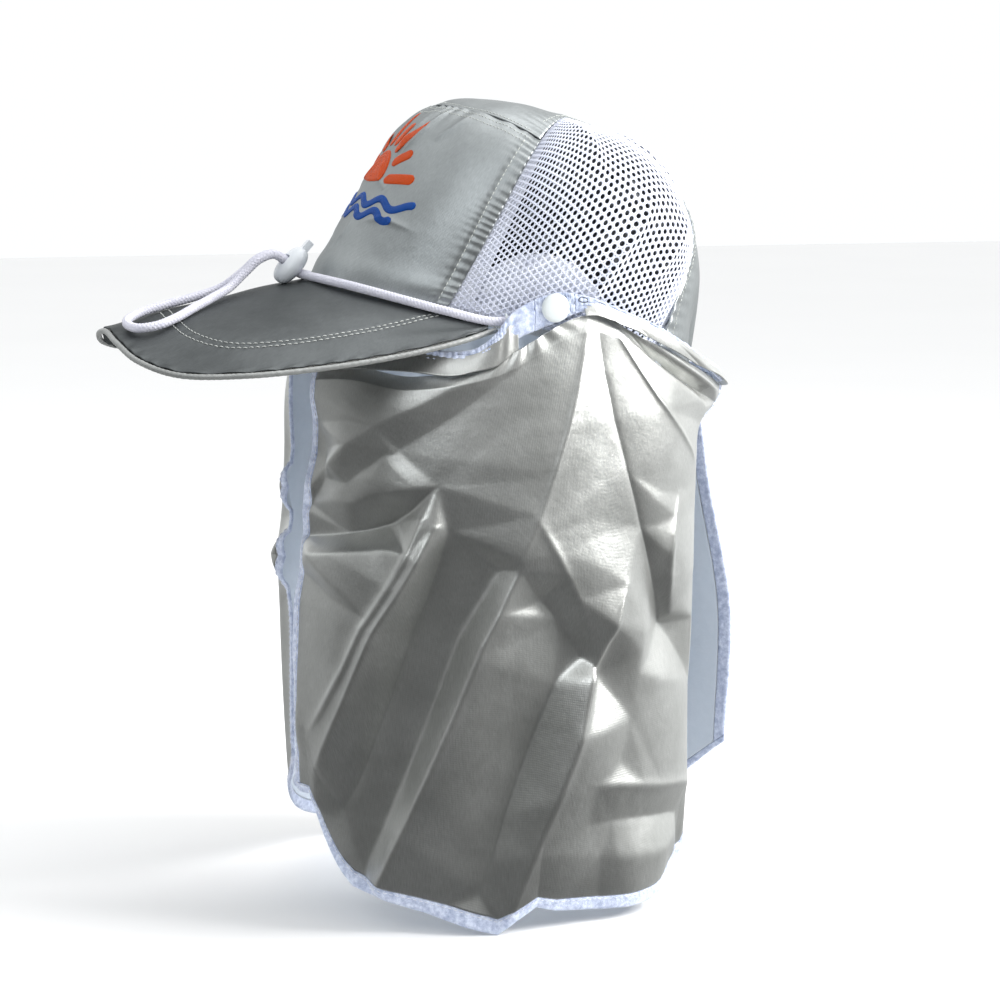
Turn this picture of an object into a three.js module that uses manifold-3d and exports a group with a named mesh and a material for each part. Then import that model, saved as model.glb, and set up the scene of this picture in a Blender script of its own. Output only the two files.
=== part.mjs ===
// Sun cap with mesh sides, a long fabric brim, a drawcord with a spring lock, and a hanging
// shade cloth (veil) that snaps on at both sides. Millimetres, +Z up, brim towards -Y,
// the wearer's left towards +X. The origin is the centre of the head opening.
import * as THREE from 'three';
import { mergeVertices } from 'three/addons/utils/BufferGeometryUtils.js';
import Module from 'manifold-3d';

const wasm = await Module();
wasm.setup();

// ---------------------------------------------------------------- driving dimensions
const DEG = Math.PI / 180;
const TILT = 14 * DEG;              // the worn cap leans back: its front edge is lifted
const HEAD_HALF_LENGTH = 101;       // base ellipse of the crown, front to back
const HEAD_HALF_WIDTH = 82;
const CROWN_HEIGHT = 107;
const FRONT_LEAN = 0.003;           // how fast the front panel leans back, per mm of height
const ROUNDNESS = { front: 0.4, side: 0.55, back: 0.76 };  // 1 is an ellipse, 0 a box

const CLOTH = 1.0;                  // thickness of a crown panel
const SEAM_GAP = 0.8;               // gap between panels that are sewn edge to edge
const FRONT_SEAM_ANGLE = 60 * DEG;  // where the front panel ends on the base ellipse
const TOP_SEAM_AT = 0.9;            // height on the front seam where the top seam meets it

const BRIM_ROOT_ANGLE = 74 * DEG;
const BRIM_ROOT_Z = -4.5;
const BOARD_THICKNESS = 1.4;
const COVER_THICKNESS = 0.7;
const COVER_LIFT = 0.45;            // gap between the board and its covers
const PIPING_RADIUS = 1.4;

const CORD_RADIUS = 2.2;
const TAPE_THICKNESS = 1.2;
const VEIL_THICKNESS = 1.2;
const BINDING_WIDTH = 5;
const BINDING_THICKNESS = 1.8;

const LOCK_CENTRE = [0, -114, 1.9];
const LOCK_LEAN = 62 * DEG;         // the lock's long axis, measured up from +Y
const LOCK_HALF_LENGTH = 10.5;
const LOCK_RADIUS = 5.6;
const LOCK_HALF_WIDTH = 9;
const LOCK_TRAVEL = 2.8;            // how far the plunger can be pressed

const SNAP_CENTRE = [-4, 11.4];     // y and z of both snaps, in the cap's own frame
const SNAP_CAP_RADIUS = 7;

// ---------------------------------------------------------------- materials
function fabric(name, color, roughness, metalness = 0) {
  return new THREE.MeshStandardMaterial({ name, color, roughness, metalness });
}
const silverCloth = fabric('silver_cloth', 0x9ea2a0, 0.42, 0.55);
const meshCloth = fabric('white_mesh', 0xe9ecf6, 0.8);
const whiteCloth = fabric('white_tape', 0xcdd6e8, 0.85);
const cottonCloth = fabric('sweatband_cloth', 0xe4e4e0, 0.9);
const liningCloth = fabric('lining_cloth', 0xdfe3ea, 0.9);
const elasticWeb = fabric('elastic_web', 0xe8e8ea, 0.85);
const boardPlastic = fabric('board_plastic', 0xd9dad8, 0.6);
const whitePlastic = fabric('white_plastic', 0xe8edf0, 0.35);
const braidedCord = fabric('braided_cord', 0xe6e6f0, 0.8);
const springSteel = fabric('spring_steel', 0xb8bcc0, 0.3, 1);
const silverPiping = fabric('piping_cloth', 0xb9bcba, 0.45, 0.4);

// ---------------------------------------------------------------- small helpers
const vec = (x, y, z) => new THREE.Vector3(x, y, z);
const mirrored = (p) => vec(-p.x, p.y, p.z);
const lerp = (a, b, t) => a.clone().lerp(b, t);

function smoothCurve(points) {
  return new THREE.CatmullRomCurve3(points.map((p) => vec(...p)), false, 'centripetal');
}

function at(curve, t) {
  return curve.getPoint(THREE.MathUtils.clamp(t, 0, 1));
}

function signedVolume(position, index) {
  const a = new THREE.Vector3();
  const b = new THREE.Vector3();
  const c = new THREE.Vector3();
  let sum = 0;
  for (let i = 0; i < index.length; i += 3) {
    a.fromArray(position, 3 * index[i]);
    b.fromArray(position, 3 * index[i + 1]);
    c.fromArray(position, 3 * index[i + 2]);
    sum += a.dot(b.cross(c)) / 6;
  }
  return sum;
}

// Closed solid between two offsets of the surface (u, v), both from 0 to 1.
function sheetSolid(surface, from, to, nu, nv) {
  const step = 1e-3;
  const position = [];
  const offsetPoint = (u, v, offset) => {
    const p = surface(u, v);
    const u0 = Math.max(u - step, 0);
    const u1 = Math.min(u + step, 1);
    const v0 = Math.max(v - step, 0);
    const v1 = Math.min(v + step, 1);
    const du = surface(u1, v).sub(surface(u0, v));
    const dv = surface(u, v1).sub(surface(u, v0));
    return p.addScaledVector(du.cross(dv).normalize(), offset);
  };
  for (const offset of [from, to]) {
    for (let j = 0; j <= nv; j++) {
      for (let i = 0; i <= nu; i++) position.push(...offsetPoint(i / nu, j / nv, offset).toArray());
    }
  }
  const layer = (nu + 1) * (nv + 1);
  const id = (i, j, k) => k * layer + j * (nu + 1) + i;
  const index = [];
  const quad = (a, b, c, d) => index.push(a, b, c, a, c, d);
  for (let j = 0; j < nv; j++) {
    for (let i = 0; i < nu; i++) {
      quad(id(i, j, 0), id(i, j + 1, 0), id(i + 1, j + 1, 0), id(i + 1, j, 0));
      quad(id(i, j, 1), id(i + 1, j, 1), id(i + 1, j + 1, 1), id(i, j + 1, 1));
    }
  }
  for (let i = 0; i < nu; i++) {
    quad(id(i, 0, 0), id(i + 1, 0, 0), id(i + 1, 0, 1), id(i, 0, 1));
    quad(id(i + 1, nv, 0), id(i, nv, 0), id(i, nv, 1), id(i + 1, nv, 1));
  }
  for (let j = 0; j < nv; j++) {
    quad(id(0, j + 1, 0), id(0, j, 0), id(0, j, 1), id(0, j + 1, 1));
    quad(id(nu, j, 0), id(nu, j + 1, 0), id(nu, j + 1, 1), id(nu, j, 1));
  }
  if (signedVolume(position, index) < 0) {
    for (let i = 0; i < index.length; i += 3) [index[i], index[i + 1]] = [index[i + 1], index[i]];
  }
  const geometry = new THREE.BufferGeometry();
  geometry.setAttribute('position', new THREE.Float32BufferAttribute(position, 3));
  geometry.setIndex(index);
  geometry.computeVertexNormals();
  return geometry;
}

// The surface between side curves, narrowed to part of its range.
function part(surface, u0, u1, v0, v1) {
  return (u, v) => surface(u0 + (u1 - u0) * u, v0 + (v1 - v0) * v);
}

function toSolid(geometry) {
  const bare = geometry.clone();
  bare.deleteAttribute('normal');
  bare.deleteAttribute('uv');
  const merged = mergeVertices(bare, 1e-5);
  return new wasm.Manifold(new wasm.Mesh({
    numProp: 3,
    vertProperties: new Float32Array(merged.attributes.position.array),
    triVerts: new Uint32Array(merged.index.array),
  }));
}

function fromSolid(solid) {
  const mesh = solid.getMesh();
  const geometry = new THREE.BufferGeometry();
  geometry.setAttribute('position', new THREE.Float32BufferAttribute(mesh.vertProperties, 3));
  geometry.setIndex(new THREE.Uint32BufferAttribute(mesh.triVerts, 1));
  geometry.computeVertexNormals();
  return geometry;
}

function cut(geometry, ...tools) {
  let solid = toSolid(geometry);
  for (const tool of tools) solid = solid.subtract(toSolid(tool));
  return fromSolid(solid);
}

function join(geometry, ...others) {
  let solid = toSolid(geometry);
  for (const other of others) solid = solid.add(toSolid(other));
  return fromSolid(solid);
}

function addMesh(parent, name, geometry, material) {
  const mesh = new THREE.Mesh(geometry, material.clone());
  mesh.name = name;
  parent.add(mesh);
  return mesh;
}

// ---------------------------------------------------------------- crown surface (cap frame)
// Superellipsoid whose roundness changes from the boxy front to the round back.
function crownLevel(p) {
  const halfLength = p.y < 0 ? HEAD_HALF_LENGTH * (1 - FRONT_LEAN * p.z) : HEAD_HALF_LENGTH;
  const x = p.x / HEAD_HALF_WIDTH;
  const y = p.y / halfLength;
  const facing = Math.hypot(x, y) > 1e-9 ? -y / Math.hypot(x, y) : 0;
  const end = facing > 0 ? ROUNDNESS.front : ROUNDNESS.back;
  const roundness = ROUNDNESS.side + (end - ROUNDNESS.side) * Math.abs(facing);
  return Math.hypot(x, y) ** (2 / roundness) + Math.max(p.z / CROWN_HEIGHT, 0) ** (2 / roundness);
}

// Moves a point along its line from the origin until it lies on the crown.
function onCrown(p) {
  let low = 0.2;
  let high = 4;
  for (let i = 0; i < 40; i++) {
    const middle = (low + high) / 2;
    if (crownLevel(p.clone().multiplyScalar(middle)) < 1) low = middle;
    else high = middle;
  }
  return p.clone().multiplyScalar(low);
}

function basePoint(angle, grow = 0, z = 0) {
  const x = (HEAD_HALF_WIDTH + grow) * Math.sin(angle);
  return vec(x, -(HEAD_HALF_LENGTH + grow) * Math.cos(angle), z);
}

const FRONT_SEAM = new THREE.QuadraticBezierCurve3(
  basePoint(FRONT_SEAM_ANGLE), vec(81, -38, 52), vec(60, -18, 95));
const FRONT_MIDDLE = smoothCurve([[0, -101, 0], [0, -97, 38], [0, -86, 74], [0, -60, 99]]);
const STRIP_SIDE = smoothCurve([[60, -18, 95], [47, -8, 103], [29, 5, 106], [14, 28, 106],
  [11, 58, 97], [20, 76, 82], [42, 78, 58], [58, 67, 30], [66, 60, 0]]);
const STRIP_MIDDLE = smoothCurve([[0, -60, 99], [0, -25, 108], [0, 5, 110], [0, 32, 107],
  [0, 60, 97], [0, 79, 80], [0, 91, 58], [0, 98, 30], [0, 101, 0]]);
const MESH_TOP_AT = 0.56;           // share of the strip's side that is the mesh's top edge

// The strip's left side starts with the short stretch of front seam above the top seam.
function stripSide(v) {
  const lead = 0.06;
  if (v < lead) return at(FRONT_SEAM, TOP_SEAM_AT + (1 - TOP_SEAM_AT) * (v / lead));
  return at(STRIP_SIDE, (v - lead) / (1 - lead));
}

// A point across a panel that is the same on both sides of the middle line.
function across(middle, side, u) {
  const s = 2 * u - 1;
  const p = lerp(middle, side, s * s);
  p.x = side.x * s;
  return onCrown(p);
}

function frontSurface(u, v) {
  return across(at(FRONT_MIDDLE, v), at(FRONT_SEAM, TOP_SEAM_AT * v), u);
}

function stripSurface(u, v) {
  return across(at(STRIP_MIDDLE, v), stripSide(v), u);
}

// Left mesh panel: a patch between the base, the front seam and the strip's side.
function meshSurface(u, v) {
  const backBase = Math.atan2(66 / HEAD_HALF_WIDTH, -60 / HEAD_HALF_LENGTH);
  const bottom = (t) => basePoint(FRONT_SEAM_ANGLE + (backBase - FRONT_SEAM_ANGLE) * t);
  const top = (t) => at(STRIP_SIDE, MESH_TOP_AT * t);
  const front = (t) => at(FRONT_SEAM, t);
  const back = (t) => at(STRIP_SIDE, 1 - (1 - MESH_TOP_AT) * t);
  const ruledV = lerp(bottom(u), top(u), v);
  const ruledU = lerp(front(v), back(v), u);
  const corners = lerp(lerp(bottom(0), bottom(1), u), lerp(top(0), top(1), u), v);
  return onCrown(ruledV.add(ruledU).sub(corners));
}

function onSide(side, surface) {
  return (u, v) => (side === 'left' ? surface(u, v) : mirrored(surface(u, v)));
}

// Positive offsets point away from the head on every crown surface.
function crownSolid(surface, outer, thickness, nu, nv) {
  const middle = surface(0.5, 0.5);
  const du = surface(0.501, 0.5).sub(middle);
  const dv = surface(0.5, 0.501).sub(middle);
  const sign = Math.sign(du.cross(dv).dot(middle));
  return sheetSolid(surface, sign * (outer - thickness), sign * outer, nu, nv);
}

function rodX(radius, x0, x1, y, z, sides = 24) {
  const rod = new THREE.CylinderGeometry(radius, radius, Math.abs(x1 - x0), sides);
  rod.rotateZ(Math.PI / 2);
  rod.translate((x0 + x1) / 2, y, z);
  return rod;
}

function snapHole(side, radius) {
  const x = side === 'left' ? HEAD_HALF_WIDTH : -HEAD_HALF_WIDTH;
  return rodX(radius, x - 8, x + 8, ...SNAP_CENTRE, 16);
}

// A half-round patch that stands on the crown's base behind the snap.
function patchSurface(u, v) {
  const halfWidth = 34;
  const s = 2 * u - 1;
  const height = 6 + 30 * Math.sqrt(1 - 0.98 * s * s);
  const y = SNAP_CENTRE[0] - 4 + halfWidth * s;
  const x = HEAD_HALF_WIDTH * Math.sqrt(1 - (y / HEAD_HALF_LENGTH) ** 2);
  return onCrown(vec(x, y, 1.5 + (height - 1.5) * v));
}

// A band that follows the crown, from one angle and height to another.
function bandSurface(angle0, angle1, z0, z1) {
  return (u, v) => onCrown(basePoint(angle0 + (angle1 - angle0) * u, 0, z0 + (z1 - z0) * v));
}

function buildCrown(cap) {
  const edge = SEAM_GAP / 140;
  addMesh(cap, 'front_panel', crownSolid(part(frontSurface, edge, 1 - edge, 0, 1 - edge),
    0, CLOTH, 14, 8), silverCloth);
  addMesh(cap, 'front_lining', crownSolid(part(frontSurface, 0.04, 0.96, 0.04, 0.95),
    -2, 0.5, 12, 7), liningCloth);
  addMesh(cap, 'crown_strip', crownSolid(part(stripSurface, 0.01, 0.99, edge, 1),
    0, CLOTH, 8, 22), silverCloth);
  for (const side of ['left', 'right']) {
    const panel = crownSolid(onSide(side, part(meshSurface, edge * 1.5, 1 - edge * 1.5, 0,
      1 - edge * 1.5)), 0, CLOTH, 11, 9);
    addMesh(cap, `mesh_panel_${side}`, cut(panel, snapHole(side, 2)), meshCloth);
    const patch = crownSolid(onSide(side, patchSurface), -1.8, 0.5, 10, 4);
    addMesh(cap, `snap_patch_${side}`, cut(patch, snapHole(side, 2)), liningCloth);
  }
  const sweatEnd = 132 * DEG;
  addMesh(cap, 'sweatband', crownSolid(bandSurface(-sweatEnd, sweatEnd, -4, 24),
    -4.6, 1, 30, 2), cottonCloth);
  addMesh(cap, 'back_elastic', crownSolid(bandSurface(140 * DEG, 220 * DEG, 1, 17),
    -2, 1.4, 14, 2), elasticWeb);
}

// ---------------------------------------------------------------- brim (cap frame)
const BRIM_EDGE_LEFT = [[84.5, -29, -5.4], [89, -48, -15.5], [93, -80, -29.5],
  [94, -112, -41.5], [90, -145, -52.5], [76, -172, -59.5], [54, -188, -58.5],
  [28, -195.5, -53.5]];
const BRIM_EDGE = smoothCurve([
  ...BRIM_EDGE_LEFT.map(([x, y, z]) => [-x, y, z]), [0, -197, -50.5],
  ...[...BRIM_EDGE_LEFT].reverse()]);

function brimEdge(u) {
  return BRIM_EDGE.getPointAt(THREE.MathUtils.clamp(u, 0, 1));
}

// From the seam at the crown (v = 0) to a given distance inside the outer edge (v = 1).
function brimSurface(edgeInset) {
  return (u, v) => {
    const root = basePoint(BRIM_ROOT_ANGLE * (2 * u - 1), 1.2, BRIM_ROOT_Z);
    const edge = brimEdge(u);
    const reach = 1 - edgeInset / root.distanceTo(edge);
    const bulge = 1.5 * Math.sin(Math.PI * v) * Math.sin(Math.PI * u);
    return lerp(root, edge, v * reach).add(vec(0, 0, bulge));
  };
}

function tube(path, radius, sides, steps) {
  const section = new THREE.Shape();
  for (let i = 0; i < sides; i++) {
    const angle = 2 * Math.PI * i / sides;
    const x = radius * Math.cos(angle);
    const y = radius * Math.sin(angle);
    if (i === 0) section.moveTo(x, y);
    else section.lineTo(x, y);
  }
  section.closePath();
  return new THREE.ExtrudeGeometry(section, { steps, bevelEnabled: false, extrudePath: path });
}

function buildBrim(cap) {
  const half = BOARD_THICKNESS / 2;
  const coverIn = half + COVER_LIFT;
  const coverOut = coverIn + COVER_THICKNESS;
  const cover = part(brimSurface(PIPING_RADIUS + 0.5), 0.012, 0.988, 0, 1);
  const board = part(brimSurface(4), 0.04, 0.96, 0.02, 1);
  addMesh(cap, 'brim_board', sheetSolid(board, -half, half, 24, 5), boardPlastic);
  addMesh(cap, 'brim_top_cover', sheetSolid(cover, -coverIn, -coverOut, 24, 5), silverCloth);
  addMesh(cap, 'brim_under_cover', sheetSolid(cover, coverIn, coverOut, 24, 5), silverCloth);
  addMesh(cap, 'brim_piping', tube(BRIM_EDGE, PIPING_RADIUS, 8, 38), silverPiping);
}

// ---------------------------------------------------------------- drawcord and lock (cap frame)
// Half of the route round the crown, from the casing's mouth to the lock's rear mouth.
const CORD_SIDE = [[84.6, -22.5, 0.85], [83, -32, -1.9], [75.5, -53, -2.1],
  [63, -72.5, -1.6], [45, -90, -1], [28, -99.9, -1], [15, -103.6, -1.1]];
const CORD_IN_LOCK = [[8, -104.8, -1.2], [3.5, -108.4, -0.9], [2.4, -113.4, 1.6],
  [2.4, -118.4, 4.1], [2.4, -124, 5.3], [2.6, -130.6, 1.4], [3, -136.6, -6.8]];
// The loop that lies on the brim, from the left strand round its end to the right strand.
const CORD_LOOP = [[6, -143, -15.5], [13, -151.5, -22.1], [22, -161, -28.5],
  [29.5, -170.5, -35.4], [33, -179.5, -40.9], [31, -187, -44], [22.5, -190.8, -44.2],
  [12, -190, -42.1], [4, -183, -37.4], [0, -171.5, -31.3], [-2, -158, -24.5],
  [-3, -145, -16.5]];

function cordRoute() {
  const right = (points) => points.map(([x, y, z]) => [-x, y, z]).reverse();
  return [...CORD_SIDE, ...CORD_IN_LOCK, ...CORD_LOOP, ...right(CORD_IN_LOCK),
    ...right(CORD_SIDE)];
}

// A lathe profile of [radius, height] pairs, closed on the axis, turned about local +Z.
function turned(profile, segments) {
  const lathe = new THREE.LatheGeometry(profile.map(([r, h]) => new THREE.Vector2(r, h)), segments);
  lathe.rotateX(Math.PI / 2);
  return lathe;
}

function box(width, depth, z0, z1) {
  const shape = new THREE.BoxGeometry(width, depth, z1 - z0);
  shape.translate(0, 0, (z0 + z1) / 2);
  return shape;
}

// In the lock's own frame +Z is the way the plunger springs out and the cord runs along Y.
function buildLock(lock) {
  const tunnelWidth = 10.4;
  const tunnelHalf = CORD_RADIUS + 0.7;
  const plate = { width: 11.2, depth: 3.6, bottom: -4.1, top: 6.8 };
  const nub = { width: 4.4, depth: 3.4, top: 15.4 };
  const clearance = 0.3;
  const floor = plate.bottom - LOCK_TRAVEL - 0.3;
  const well = { radius: 2, bottom: -9.3 };

  const profile = [];
  for (let i = 0; i <= 12; i++) {
    const angle = -Math.PI / 2 + Math.PI * i / 12;
    const r = i % 12 === 0 ? 0 : LOCK_RADIUS * Math.cos(angle) ** 0.7;
    profile.push([r, LOCK_HALF_LENGTH * Math.sin(angle)]);
  }
  const egg = turned(profile, 20);
  egg.scale(LOCK_HALF_WIDTH / LOCK_RADIUS, 1, 1);
  const pocket = box(plate.width + 2 * clearance, plate.depth + 2 * clearance, floor,
    plate.top + clearance);
  const neck = box(nub.width + 2 * clearance, nub.depth + 2 * clearance, 0, 20);
  const tunnel = box(tunnelWidth, 30, -tunnelHalf, tunnelHalf);
  const springWell = turned([[0, well.bottom], [well.radius, well.bottom], [well.radius, 0],
    [0, 0]], 16);
  addMesh(lock, 'cord_lock_body', cut(egg, pocket, neck, tunnel, springWell), whitePlastic);

  const blade = join(box(plate.width, plate.depth, plate.bottom, plate.top),
    box(nub.width, nub.depth, 0, nub.top));
  const slot = box(tunnelWidth - 0.6, 10, -tunnelHalf, tunnelHalf + LOCK_TRAVEL - 0.2);
  addMesh(lock, 'cord_lock_plunger', cut(blade, slot), whitePlastic);

  const wire = 0.25;
  const coils = 3;
  const bottom = well.bottom + wire + 0.1;
  const top = plate.bottom - wire - 0.1;
  const turns = [];
  for (let i = 0; i <= coils * 10; i++) {
    const angle = 2 * Math.PI * i / 10;
    const rise = bottom + (top - bottom) * i / (coils * 10);
    turns.push([1.4 * Math.cos(angle), 1.4 * Math.sin(angle), rise]);
  }
  addMesh(lock, 'cord_lock_spring', tube(smoothCurve(turns), wire, 6, coils * 12), springSteel);
}

function buildCord(cap) {
  addMesh(cap, 'drawcord', tube(smoothCurve(cordRoute()), CORD_RADIUS, 8, 80), braidedCord);
  const lock = new THREE.Group();
  lock.position.set(...LOCK_CENTRE);
  lock.rotation.x = LOCK_LEAN - Math.PI / 2;
  buildLock(lock);
  cap.add(lock);
}

// ---------------------------------------------------------------- snaps (cap frame)
// Distances are along +X from the centre plane, mirrored for the right side.
const SNAP_STACK = { postIn: 77.9, patchIn: 79.0, socketIn: 82.4, socketOut: 85.2,
  studIn: 83.0, flangeIn: 85.6, flangeOut: 86.5, postOut: 90.1, capIn: 89, capOut: 91.8 };

function snapPart(side, profile) {
  const shape = turned(profile, 18);
  shape.rotateY(Math.PI / 2);
  if (side === 'right') shape.rotateY(Math.PI);
  shape.translate(0, ...SNAP_CENTRE);
  return shape;
}

function buildSnap(cap, side) {
  const s = SNAP_STACK;
  const socketPost = [[0, s.postIn], [5, s.postIn], [5, s.patchIn], [1.5, s.patchIn],
    [1.5, s.socketIn - 0.2], [0, s.socketIn - 0.2]];
  const socket = [[2.7, s.socketIn], [5.8, s.socketIn], [5.8, s.socketOut - 0.6],
    [5.2, s.socketOut], [2.7, s.socketOut], [2.7, s.socketIn]];
  const stud = [[0, s.studIn], [1.6, s.studIn], [2.2, s.studIn + 0.6], [2.2, s.studIn + 1.4],
    [1.7, s.studIn + 2], [1.7, s.flangeIn], [4.6, s.flangeIn], [4.6, s.flangeOut],
    [1.3, s.flangeOut], [1.3, s.postOut], [0, s.postOut]];
  const face = [[0, s.postOut + 0.4], [1.7, s.postOut + 0.4], [1.7, s.capIn],
    [SNAP_CAP_RADIUS - 0.5, s.capIn], [SNAP_CAP_RADIUS, s.capIn + 0.5],
    [SNAP_CAP_RADIUS, s.capIn + 1.3], [SNAP_CAP_RADIUS - 0.9, s.capOut - 0.4], [4, s.capOut],
    [0, s.capOut]];
  addMesh(cap, `snap_post_${side}`, snapPart(side, socketPost), whitePlastic);
  addMesh(cap, `snap_socket_${side}`, snapPart(side, socket), whitePlastic);
  addMesh(cap, `snap_stud_${side}`, snapPart(side, stud), whitePlastic);
  addMesh(cap, `snap_cap_${side}`, snapPart(side, face), whitePlastic);
}

// ---------------------------------------------------------------- casing tape (worn frame)
// Upper and lower edges on the left, from the veil's front corner to the centre of the back.
const TAPE_UPPER = [[26, -103.5, -7], [52, -89, -5], [73, -69, -5.5], [84, -52, -8],
  [88.3, -41, -6.5], [90.5, -32, 0], [89.5, -23, 10], [87.8, -1, 19], [86.6, 16, 17],
  [85, 35, 10], [76, 62, -2], [53, 90, -16.5], [27, 110, -26]];
const TAPE_LOWER = [[26, -104.5, -18], [53, -91, -15], [75, -70, -15], [84.5, -52, -16.5],
  [88.6, -41, -14.5], [90.5, -32, -11], [89.5, -23, -4], [87.8, -1, 4.5], [87.4, 16, 10],
  [85.8, 35, 3.8], [77, 63, -8.5], [54, 91.5, -23], [28, 112, -33]];
const SNAP_KNOT = 7;                // index of the tape point that carries the snap

function wholeLoop(points, backMiddle) {
  const right = points.map(([x, y, z]) => [-x, y, z]).reverse();
  return smoothCurve([...points, backMiddle, ...right]);
}
const UPPER_EDGE = wholeLoop(TAPE_UPPER, [0, 118, -29]);
const LOWER_EDGE = wholeLoop(TAPE_LOWER, [0, 120, -36]);
const TAPE_KNOTS = 2 * TAPE_UPPER.length;

function tapeSurface(k0, k1) {
  return (u, v) => {
    const t = (k0 + (k1 - k0) * u) / TAPE_KNOTS;
    return lerp(at(UPPER_EDGE, t), at(LOWER_EDGE, t), v);
  };
}

function tapeSolid(k0, k1, steps) {
  const half = TAPE_THICKNESS / 2;
  return sheetSolid(tapeSurface(k0, k1), -half, half, steps, 2);
}

function worn(p) {
  return p.clone().applyAxisAngle(vec(1, 0, 0), -TILT);
}

function buildTape(veil) {
  const joint = 0.02;
  const before = SNAP_KNOT - 0.45;
  const after = SNAP_KNOT + 0.6;
  addMesh(veil, 'casing_front_left', tapeSolid(0, before - joint, 13), whiteCloth);
  addMesh(veil, 'casing_back', tapeSolid(after + joint, TAPE_KNOTS - after - joint, 28), whiteCloth);
  addMesh(veil, 'casing_front_right',
    tapeSolid(TAPE_KNOTS - before + joint, TAPE_KNOTS, 13), whiteCloth);
  for (const side of ['left', 'right']) {
    const ends = side === 'left' ? [before, after] : [TAPE_KNOTS - after, TAPE_KNOTS - before];
    const centre = worn(vec(side === 'left' ? 88 : -88, ...SNAP_CENTRE));
    const hole = rodX(1.8, centre.x - 6, centre.x + 6, centre.y, centre.z, 16);
    addMesh(veil, `casing_tab_${side}`, cut(tapeSolid(...ends, 6), hole), whiteCloth);
  }
}

// A small ring at each mouth of the casing, where the drawcord goes in.
function buildEyelets(cap) {
  const ring = [[2.8, -0.5], [3.6, -0.5], [3.6, 0.5], [2.8, 0.5], [2.8, -0.5]];
  const forward = vec(...CORD_SIDE[1]).sub(vec(...CORD_SIDE[0])).normalize();
  for (const side of ['left', 'right']) {
    const eyelet = turned(ring, 16);
    const way = side === 'left' ? forward : mirrored(forward);
    eyelet.applyQuaternion(new THREE.Quaternion().setFromUnitVectors(vec(0, 0, 1), way));
    eyelet.translate(side === 'left' ? 84.3 : -84.3, -25, 0);
    addMesh(cap, `cord_eyelet_${side}`, eyelet, whitePlastic);
  }
}

// ---------------------------------------------------------------- veil (worn frame)
// Ribs run down the cloth from the casing to the hem, front edge first, on the left side.
const RIBS_LEFT = [
  [[26, -104.6, -19.2], [25, -109, -75], [24, -115, -136], [24, -116, -232]],
  [[53, -91.2, -16.4], [58, -95, -75], [62, -96, -140], [60, -98, -268]],
  [[76, -69, -20.5], [84, -68, -75], [88, -64, -145], [84, -66, -284]],
  [[90.4, -33, -13.4], [96, -28, -70], [98, -26, -150], [93, -26, -296]],
  [[87.4, 16, 7.8], [95, 17, -60], [99, 18, -150], [93, 22, -294]],
  [[82.4, 48, -5], [88, 52, -70], [88, 52, -150], [79, 54, -290]],
  [[54, 92, -26], [60, 82, -68], [62, 80, -150], [58, 78, -274]],
  [[14, 118, -37.6], [42, 89, -70], [48, 83, -150], [46, 84, -262]]];
// The right panel hangs the same way but its front edge is set back and its back edge flares.
const RIBS_RIGHT = RIBS_LEFT.map((rib) => rib.map(([x, y, z]) => [-x, y, z]));
RIBS_RIGHT[0] = [[-26, -104.6, -19.2], [-25, -104, -75], [-24, -105, -136], [-26, -106, -232]];
RIBS_RIGHT[6] = [[-54, 92, -26], [-60, 92, -80], [-62, 102, -150], [-54, 104, -278]];
RIBS_RIGHT[7] = [[-14, 118, -37.6], [-24, 126, -86], [-25, 143, -165], [-23, 139, -242]];

function veilSurface(ribs) {
  const downs = ribs.map((rib) => smoothCurve(rib));
  return (u, v) => smoothCurve(downs.map((down) => at(down, v).toArray())).getPoint(u);
}

function buildVeil(veil, side, ribs) {
  const cloth = veilSurface(ribs);
  const span = 250;
  const drop = 285;
  const edge = BINDING_WIDTH / span;
  const hem = BINDING_WIDTH / drop;
  const gap = 0.5 / span;
  const half = VEIL_THICKNESS / 2;
  const thick = BINDING_THICKNESS / 2;
  const panel = part(cloth, edge + gap, 1 - edge - gap, 0, 1 - hem - gap);
  addMesh(veil, `veil_panel_${side}`, sheetSolid(panel, -half, half, 18, 11), silverCloth);
  const strip = (name, piece, nu, nv) => addMesh(veil, `${name}_${side}`,
    sheetSolid(piece, -thick, thick, nu, nv), whiteCloth);
  strip('front_binding', part(cloth, 0, edge, 0, 1 - hem - gap), 1, 11);
  strip('back_binding', part(cloth, 1 - edge, 1, 0, 1 - hem - gap), 1, 11);
  strip('hem_binding', part(cloth, 0, 1, 1 - hem, 1), 18, 1);
}

// ---------------------------------------------------------------- assembly
const object = new THREE.Group();
object.name = 'sun_cap_with_veil';

const cap = new THREE.Group();
cap.rotation.x = -TILT;
buildCrown(cap);
buildBrim(cap);
buildCord(cap);
buildEyelets(cap);
for (const side of ['left', 'right']) buildSnap(cap, side);
object.add(cap);

const veil = new THREE.Group();
buildTape(veil);
buildVeil(veil, 'left', RIBS_LEFT);
buildVeil(veil, 'right', RIBS_RIGHT);
object.add(veil);

export default object;
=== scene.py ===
import math

import bmesh
import bpy
import numpy as np
from mathutils import Matrix, Vector
from mathutils.geometry import delaunay_2d_cdt


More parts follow.
